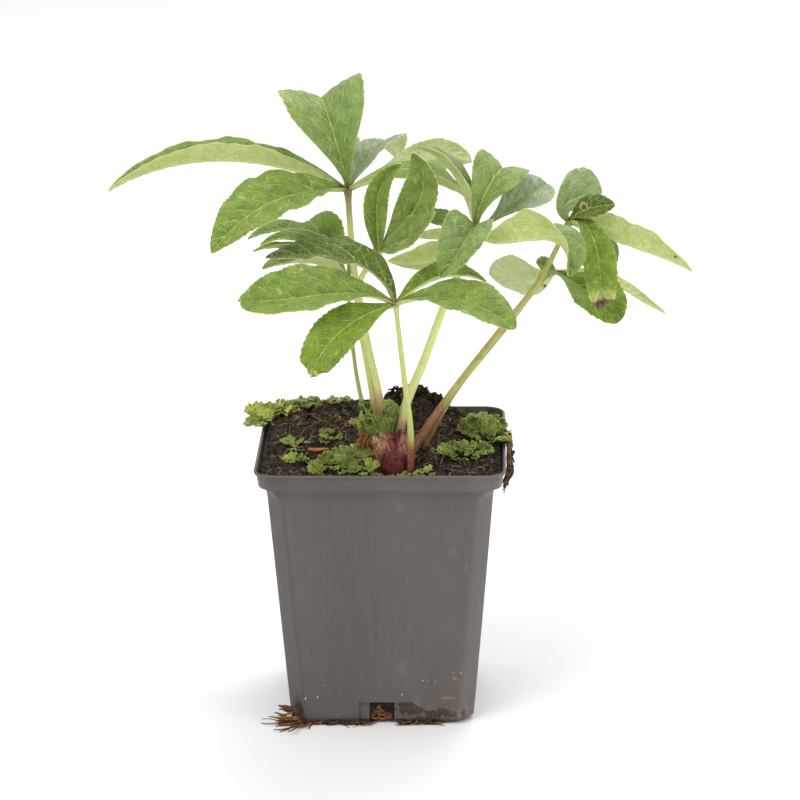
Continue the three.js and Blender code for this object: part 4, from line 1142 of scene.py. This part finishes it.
def midrib(points):
    """The cubic through the hub and the three points of a leaflet."""
    points = np.asarray(points, float)
    knots = np.concatenate([[0], np.cumsum(steps(points))])
    t = np.linspace(0, knots[3], 161)[:, None]
    line = 0
    for k, point in enumerate(points):
        others = np.delete(knots, k)
        line = line + np.prod((t - others) / (knots[k] - others), axis=1, keepdims=True) * point
    return evenly(line, 2 * round(knots[3] / BLADE.row / 2) + 1)


def half_width(s, half, peak, tip):
    """Half the width of a leaflet at fractions of its length."""
    bent = s ** (math.log(0.5) / math.log(peak))
    swell = np.maximum(np.sin(np.pi * bent), 0) ** np.where(s < peak, 1.2, tip)
    return half * swell + mix(BLADE.base_half, BLADE.tip_half, s)


def add_leaflet(shape, hub, spec, key, seed, joint):
    """One leaflet: a folded, toothed and quilted blade with its veins."""
    tone, to, face, half, fold, peak, twist = (*spec, *(WIDEST, UNTURNED)[len(spec) - 5:])
    rng = np.random.default_rng(seed)
    line = midrib([hub, *to])
    length = steps(line).sum()
    rows, columns = len(line), 2 * round(half / BLADE.column) + 5
    s = np.linspace(0, 1, rows)
    v = np.linspace(-1, 1, columns)
    u = v - 0.06 * np.sin(2 * np.pi * v)
    size, flank = abs(u), np.sign(u)
    along = tangents(line)
    up = carried(along, face, rows // 2)
    turn = np.radians(np.interp(s, [0, 0.5, 1], [twist[0], 0, twist[1]]))[:, None]
    normal = up * np.cos(turn) + np.cross(along, up) * np.sin(turn)
    across = np.cross(along, normal)
    rise = np.radians(np.interp(s, [0, 0.5, 1], fold))[:, None]
    reach = half_width(s, half, peak, BLUNT.get(key, BLADE.tip))[:, None]

    # Teeth on the edge, a soft channel at the midrib, swollen halves and a wavy edge.
    s = s[:, None]
    run = s * length
    tooth = (run / TOOTH.pitch + 0.3 * flank + 0.35 * noise(run, 9 * flank + seed, 6.0, 50)) % 1
    deep = TOOTH.depth * (0.8 + 0.45 * noise(run, 5 * flank + seed, 3.0, 51))
    bite = deep * (tooth - 0.45) * smooth((s - TOOTH.start) / 0.2) * smooth((0.99 - s) / 0.05)
    side = u * reach + flank * bite * size ** 7 * np.minimum(1, reach / 4)
    channel = np.sqrt(size ** 2 + 0.004) - 0.063
    swell = 0.07 * reach * np.sin(np.pi * size)
    phase = rng.uniform(0, 2 * np.pi, 3)
    ripple = 0.05 * np.sin(2 * np.pi * run / rng.uniform(13, 19) + np.where(u < 0, phase[0], phase[1]))
    ripple = ripple + 0.022 * np.sin(2 * np.pi * run / rng.uniform(6, 8) + phase[2] + 2 * u)
    drift = 0.35 * noise(run + 40 * seed, side, 9.0, 100 + seed) * size
    lift = channel * reach * np.sin(rise) + swell + ripple * reach * size ** 2 * np.sin(np.pi * s) + drift
    jag = TORN.get(key, 0.0) * smooth((s - 0.93) / 0.07) * (noise(u * 3.1 + seed, 0, 0.5, 60) - 0.4)
    middle = line[:, None] + across[:, None] * (side * np.cos(rise))[..., None]
    middle = middle + normal[:, None] * lift[..., None] + along[:, None] * jag[..., None]

    # The side veins leave the midrib forwards and curve on; the blade swells between them.
    lateral = size * reach
    spacing = np.clip(half * 0.62, 3.2, 7.5)
    wander = 0.26 * noise(run, u * 3 + seed, 6.0, 200 + seed) + 0.1 * noise(run, side, 2.2, 300 + seed)
    veins = (run - 1.15 * lateral - 0.5 * lateral ** 2 / half) / spacing + np.where(u < 0, 0.0, 0.45) + wander
    vein = np.exp(-(abs(veins % 1 - 0.5) * spacing / 0.55) ** 2) * (1 - 0.7 * size ** 2)
    rib = np.exp(-(lateral / (0.85 - 0.4 * s)) ** 2)
    body = np.sin(np.pi * np.minimum(size * 1.15, 1)) * np.minimum(1, reach / 5)
    quilt = 0.2 * np.cos(2 * np.pi * (veins % 1)) + 0.16 * noise(run + 9 * seed, side, 2.9, 400)
    quilt = quilt * body + 0.08 * noise(run, side + seed, 1.4, 401)
    thick = mix(BLADE.thickness, BLADE.edge, size ** 5)
    over = thick / 2 - 0.12 * vein - 0.24 * rib + quilt
    under = thick / 2 + 0.1 * vein + mix(0.75, 0.15, s) * rib - quilt

    harm = np.zeros((rows, columns))
    for *owner, where, across_at, long, wide in BLEMISHES:
        if tuple(owner) == key:
            harm += np.exp(-((run - where * length) / long) ** 2 - ((side - across_at * half) / wide) ** 2)
    at, vein = stack(side, run, 7.3 * seed), stack(veins, size, s)
    shape.sheet(middle, over, under, (0, 1), leaf_at=at, leaf_vein=vein, blemish=harm, tone=tone, joint=joint)


def make_leaf(name, looks):
    leaf = LEAVES[name]
    shape = Shape()
    first = 10 * list(LEAVES).index(name)
    for i, spec in enumerate(leaf.leaflets):
        add_leaflet(shape, leaf.hub, spec, (name, i), first + i, colour(leaf.joint))
    shape.piece(f"leaf_{name}", looks, [f"blade_{name}"])


def make_stalk(name, material):
    """A stalk with a shallow channel, widening at its foot and where it meets its leaflets."""
    leaf = LEAVES[name]
    rows, sides = STALK_GRID
    line = spline([*leaf.stalk, leaf.hub], rows)
    t = np.linspace(0, 1, rows)
    radius = mix(*leaf.radii, t) * 0.93 + 0.5 * smooth((t - 0.94) / 0.06) + 0.35 * smooth((0.09 - t) / 0.09)
    angle = turns(sides)
    groove = 1 - 0.2 * np.exp(-((angle - np.pi) / 0.4) ** 2) * smooth((t[:, None] - 0.05) / 0.1)
    worn = noise(t[:, None] * 30, angle * 1.5 + 7 * len(name), 1.0, 5)
    ridges = 1 + 0.035 * np.cos(5 * angle) + 0.025 * worn
    points, parts = tube(line, radius, sides, groove * ridges)
    tones = np.array([colour(c) for c in leaf.tints])
    spread = np.interp(t, [0.0, leaf.flushed, leaf.flushed + 0.07, 0.86, 1.0], [0, 0.1, 1, 1, 2])
    tint = np.stack([np.interp(spread, [0, 1, 2], tones[:, k]) for k in range(3)], -1)
    flush = np.maximum(leaf.streaks, smooth((leaf.flushed + 0.08 - t) / 0.1) * 0.22)
    seed = 3.1 * list(LEAVES).index(name)
    at = stack(np.cos(angle), np.sin(angle) + seed, (t * steps(line).sum())[:, None])
    shape = Shape()
    shape.add(points, parts, tint=ended(tint, sides), stalk_at=ended(at), flush=ended(flush[:, None], sides))
    shape.piece(f"petiole_{name}", [material], [f"stalk_{name}"])


def ended(values, sides=1):
    """Values of a tube's rings, one for each ring or point, followed by those of its two ends."""
    values = np.repeat(values.reshape(-1, values.shape[-1]), sides, 0)
    return np.vstack([values, values[[0, -1]]])


# Crown.

def crown_scale(shape, cone, facing, spread, reach, tints, seed):
    """A sheathing scale wrapped round a cone, from its foot to `reach` of its height."""
    rng = np.random.default_rng(seed)
    foot, head, radii = (np.asarray(part, float) for part in CROWN[cone])
    axis = unit(head - foot)
    side = unit(np.cross(axis, (0, 1, 0)))
    other = np.cross(side, axis)
    t = np.linspace(0, 1, 30)[:, None]
    u = np.linspace(-1, 1, 23)
    ragged = 0.08 * noise(t * 5, 3 * np.sign(u) + seed, 1.0, 33)
    angle = facing + u * (spread * np.sqrt(1 - 0.95 * t ** 3.5) + ragged)
    radius = mix(*radii, t * reach) * (1.01 + 0.035 * (seed % 3)) + 0.12 * t ** 4 + 0.45 * np.sin(np.pi * t)
    radius = radius + 0.16 * np.sin(7 * u + seed) * (1 - 0.5 * t)
    radius = radius + 0.25 * noise(u * 3 + seed, t * 5, 1.0, seed)
    height = t * reach - 0.05 * u ** 2 * t + 0.035 * noise(u * 4 + seed, 0, 0.5, 34) * t ** 4
    out = np.cos(angle)[..., None] * side + np.sin(angle)[..., None] * other
    middle = mix(foot, head, height[..., None]) + out * radius[..., None]
    thick = 0.3 * (1 - 0.6 * abs(u) ** 3) * (1 - 0.4 * t)
    share = smooth(t * 1.3 - 0.25 + 0.15 * abs(u) + rng.uniform(-0.1, 0.1))[..., None]
    tint = mix(colour(tints[0]), colour(tints[1]), share)
    shape.sheet(middle, thick, thick, tint=tint, stalk_at=stack(angle * 2.2, seed * 1.7, t * 18))


def make_crown(material):
    """Ribbed cones for the buds and stalk bases, wrapped in scales."""
    shape = Shape()
    rows, sides = 14, 28
    t = np.linspace(0, 1, rows)
    angle = turns(sides)
    tint = mix(colour("#4a161c"), colour("#9a5a4c"), smooth(t - 0.2)[:, None])
    for i, (foot, head, radii) in enumerate(CROWN):
        ribs = 1 + 0.035 * np.sin(9 * angle + i) + 0.03 * noise(angle * 2, t[:, None] * 4 + 5 * i, 1.0, 31)
        points, parts = tube(np.linspace(foot, head, rows), mix(*radii, t) * 0.97, sides, ribs)
        at = stack(2.2 * angle, 1.3 * i, 18 * t[:, None])
        shape.add(points, parts, tint=ended(tint, sides), stalk_at=ended(at))
    for seed, scale in enumerate(SCALES):
        crown_scale(shape, *scale, seed + 1)
    shape.piece("crown_scales", [material], ["crown"])


def make_husk(material):
    """Dead brown shreds between the crown and the liverwort."""
    rng = np.random.default_rng(35)
    shape = Shape()
    for _ in range(HUSK.shreds):
        start = HUSK.top + rng.normal(0, 0.8, 3)
        end = HUSK.foot + rng.normal(0, 1.2, 3)
        line = spline([start, mix(start, end, 0.5) + rng.normal(0, 0.7, 3), end], 10)
        radii = np.linspace(0.45, 0.15, 10) * rng.uniform(0.5, 1.3)
        shape.tube(line, radii, 6, tint=pick(rng, HUSK_TINTS, 1)[0])
    shape.piece("crown_husk", [material])


# Liverwort.

def lobe(rng, length, width):
    """A fan-shaped lobe: its points ahead, aside and up, how near the edge they are, and the grid."""
    t = np.linspace(0, 1, 13)[:, None]
    u = np.linspace(-1, 1, 25)
    phase = rng.uniform(0, 2 * np.pi, 5)
    crenate = 0.045 * np.cos(2 * np.pi * (2.6 + 0.05 * length) * u + phase[0]) * t ** 2
    notch = 0.2 * np.exp(-(u / 0.15) ** 2) * t ** 3
    ahead = length * t * (1 - 0.38 * u ** 2 * t - notch + crenate)
    scallop = 1 + 0.07 * np.cos(2 * np.pi * 3.2 * t + phase[1] + np.sign(u)) * abs(u) ** 3
    aside = width * u * (0.25 + 0.75 * t ** 0.75) * scallop
    ruffle = np.sin(2.3 * np.pi * u + phase[2]) + 0.6 * np.sin(5.4 * np.pi * u + phase[3] + 3 * t)
    ruffle = ruffle * t ** 1.5 + 0.5 * np.sin(9 * t + phase[4]) * abs(u) ** 3
    up = (0.06 * length + 0.16) * ruffle + 0.1 * length * t ** 3 + 0.35 * u ** 4
    up = up - 0.22 * np.exp(-(u / 0.09) ** 2) * (1 - 0.6 * t)
    edge = np.maximum(t ** 2, u ** 2 * (0.4 + 0.6 * t))
    return stack(ahead, aside, up), edge, u, t


def add_lobe(shape, rng, root, forward, upward, length, width, fresh, seed, follow=False):
    """Adds a lobe that grows from its root in a direction; one that follows lies on the soil."""
    form, edge, u, t = lobe(rng, length, width)
    forward = unit(np.asarray(forward, float))
    sideways = unit(np.cross(upward, forward))
    middle = root + form @ [forward, sideways, np.cross(forward, sideways)]
    if follow:
        limit = POT.rim_half - 3.3
        x, y = middle[..., 0], middle[..., 1]
        ground = soil_height(np.clip(x, -limit, limit), np.clip(y, -limit, limit))
        beyond = np.maximum(abs(x), abs(y)) - limit
        ground = np.maximum(ground, mix(ground, POT.height + 0.3, smooth((beyond + 2) / 2)))
        middle[..., 2] += ground - 0.25 * np.maximum(beyond - 3.5, 0)
    thick = 0.2 * (1 - 0.5 * edge)
    shape.sheet(middle, thick, thick, thallus_at=stack(u, t, float(seed)), edge=edge,
                fresh=0.85 * fresh - 0.04 + rng.normal(0, 0.12))


def make_patch(number, material):
    rng = np.random.default_rng(40 + number)
    shape = Shape()
    above = (0, 0, 1)
    for (cx, cy), (hx, hy), lift, fresh in (stand[1:] for stand in LIVERWORT if stand[0] == number):
        count = int(7 + hx * hy / 7)
        for k in range(count):
            angle = 2.4 * k + rng.normal(0, 0.25)
            out, inner = 0.72 * math.sqrt((k + 0.2) / count), 1 - k / count
            reach = np.array([hx * math.cos(angle), hy * math.sin(angle)])
            root = (cx + out * reach[0], cy + out * reach[1], lift + 0.9 * inner)
            room = (1 - out) * math.hypot(*reach)
            length = rng.uniform(0.9, 1.12) * max(room if k > count / 2 else 0.55 * min(hx, hy), 2.9)
            heading = angle + rng.normal(0, 1.6) * inner
            way = (math.cos(heading), math.sin(heading), rng.uniform(0, 0.2 + 0.35 * inner))
            yellow = fresh + (0.4 * max(0.0, -math.cos(angle)) if number == 1 else 0.0)
            add_lobe(shape, rng, root, way, above, length, length * rng.uniform(0.55, 0.75), yellow, k, True)
    yellow = 0.9 if number == 1 else 0.4
    for root, turn, length in (row[1:] for row in OVERHANGS if row[0] == number):
        way = (math.cos(turn), math.sin(turn), 0.05)
        add_lobe(shape, rng, root, way, above, length, 0.45 * length, yellow, length, True)
    for root, way, length, width, fresh in (row[1:] for row in UPRIGHTS if row[0] == number):
        add_lobe(shape, rng, root, way, (0, -0.8, 0.5), length, width, fresh, length)
    shape.piece(f"thallus_{number}", [material], [f"liverwort_{number}"])


def make_collar(material):
    """The upright thallus round the foot of two stalks: two lobed sheets with smaller lobes on them."""
    rng = np.random.default_rng(77)
    shape = Shape()
    t = np.linspace(0, 1, 22)[:, None]
    u = np.linspace(0, 1, 101)
    for layer, (axis, headings, (r0, z0), (r1, z1)) in enumerate(COLLAR):
        angle = np.radians(mix(*headings, u)) + 0.05 * np.sin(14 * u + 3 * t)
        crest = 0.92 + 0.1 * np.sin(2 * np.pi * 3.2 * u + 0.6 + layer) + 0.05 * np.sin(2 * np.pi * 13 * u)
        if layer:
            crest = crest - 0.2 * np.exp(-((u - 0.38) / 0.1) ** 2) + 0.25 * np.exp(-((u - 0.62) / 0.1) ** 2)
        crest = crest * smooth(np.minimum(u, 1 - u) / 0.07)
        hem = 0.7 * np.sin(2 * np.pi * 2.3 * u + 2) + 0.3 * np.sin(2 * np.pi * 14 * u)
        z = z0 + hem * (1 - t) + (z1 - z0) * crest * t
        folds = 0.55 * np.sin(2 * np.pi * 4.5 * u + 2.5 * t) * (0.3 + 0.7 * t)
        folds = folds + 0.22 * np.sin(2 * np.pi * 12 * u + 4 * t) * t
        radius = mix(r0, r1, t ** 0.8) + folds + 0.7 * noise(u * 7 + 5 * layer, t * 2.4, 1.0, 78)
        middle = stack(axis[0] + radius * np.cos(angle), axis[1] + radius * np.sin(angle), z)
        shape.sheet(middle, 0.24, 0.24, thallus_at=stack((u * 7) % 1 - 0.5 + 0.3, t, layer + 1.0),
                    edge=np.maximum(t ** 6, (1 - t) ** 8), fresh=0.5 * smooth((0.3 - u) / 0.2) - 0.05)
    # Smaller lobes on the outer sheet, then the large ones.
    for k in range(COLLAR_SMALL):
        turn = math.radians(headings[0] + 10 + 17 * k + rng.normal(0, 3))
        level = rng.uniform(0.05, 0.7)
        out = np.array([math.cos(turn), math.sin(turn), 0])
        root = np.array([*axis, mix(z0, z1, level)]) + out * (mix(r0, r1, level) + 0.4)
        way = out * rng.uniform(0.3, 0.6) + [0, 0, rng.choice([-0.8, 0.9])] + rng.normal(0, 0.2, 3)
        add_lobe(shape, rng, root, way, out, rng.uniform(2.6, 3.8), rng.uniform(2.0, 2.9), 0.0, k + 2)
    for large in COLLAR_LOBES:
        add_lobe(shape, rng, *large)
    shape.piece("thallus_collar", [material], ["liverwort_collar"])


# Small pieces.

def make_stick(material):
    x, y, rows, sides = STICK.x, STICK.y, STICK.rows, STICK.sides
    z = soil_height(x, y) + STICK.radius + 0.9
    half = STICK.length / 2
    t = np.linspace(0, 1, rows)
    line = np.linspace((x - half, y, z), (x + half, y + 0.6, z), rows)
    line = line + 0.12 * stack(0, np.sin(9 * t), np.cos(7 * t))
    angle = turns(sides)
    rough = 1 + 0.2 * noise(angle * 2, t[:, None] * 3, 1.0, 9) + 0.12 * np.cos(3 * angle)
    radii = STICK.radius * (1 - 0.3 * t) * np.sqrt(np.sin(np.pi * (0.06 + 0.88 * t)))
    shape = Shape()
    shape.add(*tube(line, radii, sides, rough), tint=colour("#c9823c"))
    shape.piece("bark_splinter", [material], ["bark_stick"])


def strand(shape, rng, start, toward, length, radius, tint, wander):
    """A thin wavy root from `start` towards a direction, kept over the floor."""
    way = unit(np.asarray(toward, float))
    spot = np.asarray(start, float)
    path = [spot]
    for _ in range(4):
        way = unit(way + rng.normal(0, wander, 3))
        spot = spot + way * length / 4
        spot[2] = max(spot[2], radius + 0.05)
        path.append(spot)
    radii = np.linspace(radius, radius * 0.4, 12)
    line = spline(path, 12)
    line[:, 2] = np.maximum(line[:, 2], radii * 1.2)
    shape.tube(line, radii, 6, tint=tint)


def make_roots(material, crumb):
    """The tuft at the pot's front left corner and the fringe along the front of its foot."""
    rng = np.random.default_rng(61)
    shape = Shape()
    for foot, tip, count, spread, thick in ROOT_BUNCHES:
        for _ in range(count):
            start = foot + rng.normal(0, 0.3, 3)
            aim = tip + rng.normal(0, spread, 3) - start
            length = np.linalg.norm(aim) * rng.uniform(0.75, 1.0)
            tint = pick(rng, ROOT_TINTS, 1)[0]
            strand(shape, rng, start, aim, length, thick * rng.uniform(0.6, 1.1), tint, 0.15)
    for x in np.concatenate([rng.uniform(*span) for span in FRINGE]):
        start = (x, -33.5 - rng.uniform(0, 1.4), rng.uniform(0.3, 0.9))
        aim = (rng.normal(0, 1), -rng.uniform(0, 0.2), rng.normal(0, 0.06))
        length, radius = rng.uniform(2, 4.5), rng.uniform(0.14, 0.3)
        strand(shape, rng, start, aim, length, radius, pick(rng, ROOT_TINTS, 1)[0], 0.16)
    shape.piece("root_strands", [material], ["root_tuft"])
    dirt = Shape()
    spots = []
    for *span, reach in FOOT_CRUMBS:
        spots += [(x, -33.3 - rng.uniform(0, reach), 0) for x in rng.uniform(*span)]
    knot = ROOT_KNOT + rng.normal(0, 1.0, (KNOT_CRUMBS, 3)) * [1.8, 1.2, 0.5] + [-1.5, -2.0, 0.2]
    spots = np.vstack([spots, knot])
    radii = rng.uniform(0.25, 0.6, len(spots))
    spots[:, 2] = np.maximum(spots[:, 2], 1.9 * radii)
    clumps(dirt, rng, spots, radii, pick(rng, PEAT_TINTS, len(spots)))
    dirt.piece("foot_crumbs", [crumb])


def make_drain_roots(material):
    """Loops of root and peat behind the slot in the front of the pot."""
    rng = np.random.default_rng(71)
    shape = Shape()
    for _ in range(DRAIN_ROOTS):
        x, y, z = rng.uniform(-3.8, 3.8), -32.0 + rng.uniform(0, 1.0), rng.uniform(1.8, 6.4)
        path = [(x, y + 2, z)]
        for k in range(3):
            beside, level = x + rng.normal(0, 2.2), z + rng.normal(0, 1.5)
            path.append((np.clip(beside, -4, 4), y - 0.35 * k, np.clip(level, 1.7, 6.8)))
        radii = np.full(12, rng.uniform(0.18, 0.42))
        shape.tube(spline(path, 12), radii, 6, tint=pick(rng, ROOT_TINTS[:5], 1)[0])
    shape.piece("drain_roots", [material])


def make_spill(root, crumb):
    """The ribbon of peat and root that hangs over the right of the rim."""
    rng = np.random.default_rng(91)
    shape = Shape()
    outside = POT.rim_half + 0.35
    for _ in range(SPILL_STRANDS):
        path = np.array(SPILL) + rng.normal(0, 0.3, (5, 3)) + [0, rng.normal(0, 2.0), rng.normal(0, 0.6)]
        path[1:4, 0] = outside + abs(rng.normal(0.3, 0.8, 3))
        path[4, 2] += rng.uniform(-2, 3)
        points, parts = tube(spline(path, 20), np.linspace(0.5, 0.2, 20) * rng.uniform(0.5, 1.1), 6)
        beside = (points[:, 2] > LEDGE - 0.4) & (points[:, 2] < POT.height)
        points[beside, 0] = np.maximum(points[beside, 0], outside - 0.3)
        shape.add(points, parts, tint=pick(rng, SPILL_TINTS, 1)[0])
    shape.piece("spill_strands", [root], ["soil_spill"])
    dirt = Shape()
    spots = spline(SPILL, 40)[rng.integers(0, 40, SPILL_CRUMBS)]
    spots = spots + rng.normal(0, 0.8, (SPILL_CRUMBS, 3)) * [0.6, 2.2, 1.2]
    below = spots[:, 2] < POT.height + 0.6
    spots[below, 0] = np.maximum(spots[below, 0], outside + 0.2)
    scatter(dirt, rng, spots, 0.2, 0.65, PEAT_TINTS[1:5])
    dirt.piece("spill_crumbs", [crumb])


# Camera, light and floor.

def turn_to(thing, axes, place):
    """Turns an object so that its own axes are the given ones, at a place in metres."""
    turn = Matrix(np.column_stack(axes).tolist()).to_4x4()
    turn.translation = place
    thing.matrix_world = turn


def make_camera():
    yaw, pitch, roll = CAMERA.yaw, CAMERA.pitch, CAMERA.roll
    ahead = np.array([-math.sin(yaw) * math.cos(pitch), math.cos(yaw) * math.cos(pitch), -math.sin(pitch)])
    right = np.array([math.cos(yaw), math.sin(yaw), 0])
    above = np.cross(right, ahead)
    level = right * math.cos(roll) + above * math.sin(roll)
    above = above * math.cos(roll) - right * math.sin(roll)
    data = bpy.data.cameras.new("camera")
    data.sensor_width = CAMERA.sensor
    data.lens = CAMERA.sensor * CAMERA.focal / CAMERA.frame
    data.clip_start, data.clip_end = 0.05, 50
    camera = added("camera", data)
    turn_to(camera, (level, above, -ahead), np.array(CAMERA.place) * MM)
    bpy.context.scene.camera = camera


def make_stage():
    reach = STUDIO.floor
    mesh = bpy.data.meshes.new("floor")
    corners = [(-reach, -reach, 0), (reach, -reach, 0), (reach, reach, 0), (-reach, reach, 0)]
    mesh.from_pydata(corners, [], [(0, 1, 2, 3)])
    white = (STUDIO.white, STUDIO.white, STUDIO.white, 1)
    paper = Look("floor_paper", Roughness=0.9, Specular_IOR_Level=0.1, Base_Color=white)
    mesh.materials.append(paper.material)
    added("floor", mesh)
    world = bpy.data.worlds.new("studio")
    world.use_nodes = True
    colour_in, strength = world.node_tree.nodes["Background"].inputs[:2]
    colour_in.default_value, strength.default_value = (1.0, 1.0, 1.0, 1), STUDIO.sky
    bpy.context.scene.world = world
    for name, (place, target, size, power) in LIGHTS.items():
        data = bpy.data.lights.new(name, "AREA")
        data.shape, data.size, data.energy = "DISK", size, power
        back = unit(np.array(place) - np.array(target))
        aside = unit(np.cross((0, 1, 0.001), back))
        turn_to(added(name, data), (aside, np.cross(back, aside), back), place)
    bpy.context.scene.view_settings.view_transform = "Standard"


def build():
    leaf_looks = make_leaf_looks()
    stalk, crown, thallus, peat = make_stalk_look(), make_crown_look(), make_thallus_look(), make_peat_look()
    crumb = make_grain_look("crumb", 0.9, "#120d0a", 800.0, 0.0006)
    root = make_grain_look("root", 0.8, "#3b2416", 900.0, 0.0003)
    bark = make_grain_look("bark", 0.7, "#7a4a24", 500.0, 0.0004)
    moss = make_grain_look("moss", 0.8, "#2c3216", 900.0, 0.0004)
    make_pot(make_pot_look())
    make_soil(peat)
    make_crumbs(crumb)
    make_ridge(crumb)
    make_moss(moss)
    make_fibres(root)
    make_crown(crown)
    make_husk(bark)
    for name in LEAVES:
        make_leaf(name, leaf_looks)
        make_stalk(name, stalk)
    for number in sorted({stand[0] for stand in LIVERWORT}):
        make_patch(number, thallus)
    make_collar(thallus)
    make_stick(bark)
    make_roots(root, crumb)
    make_drain_roots(root)
    make_spill(root, crumb)


make_camera()
build()
make_stage()
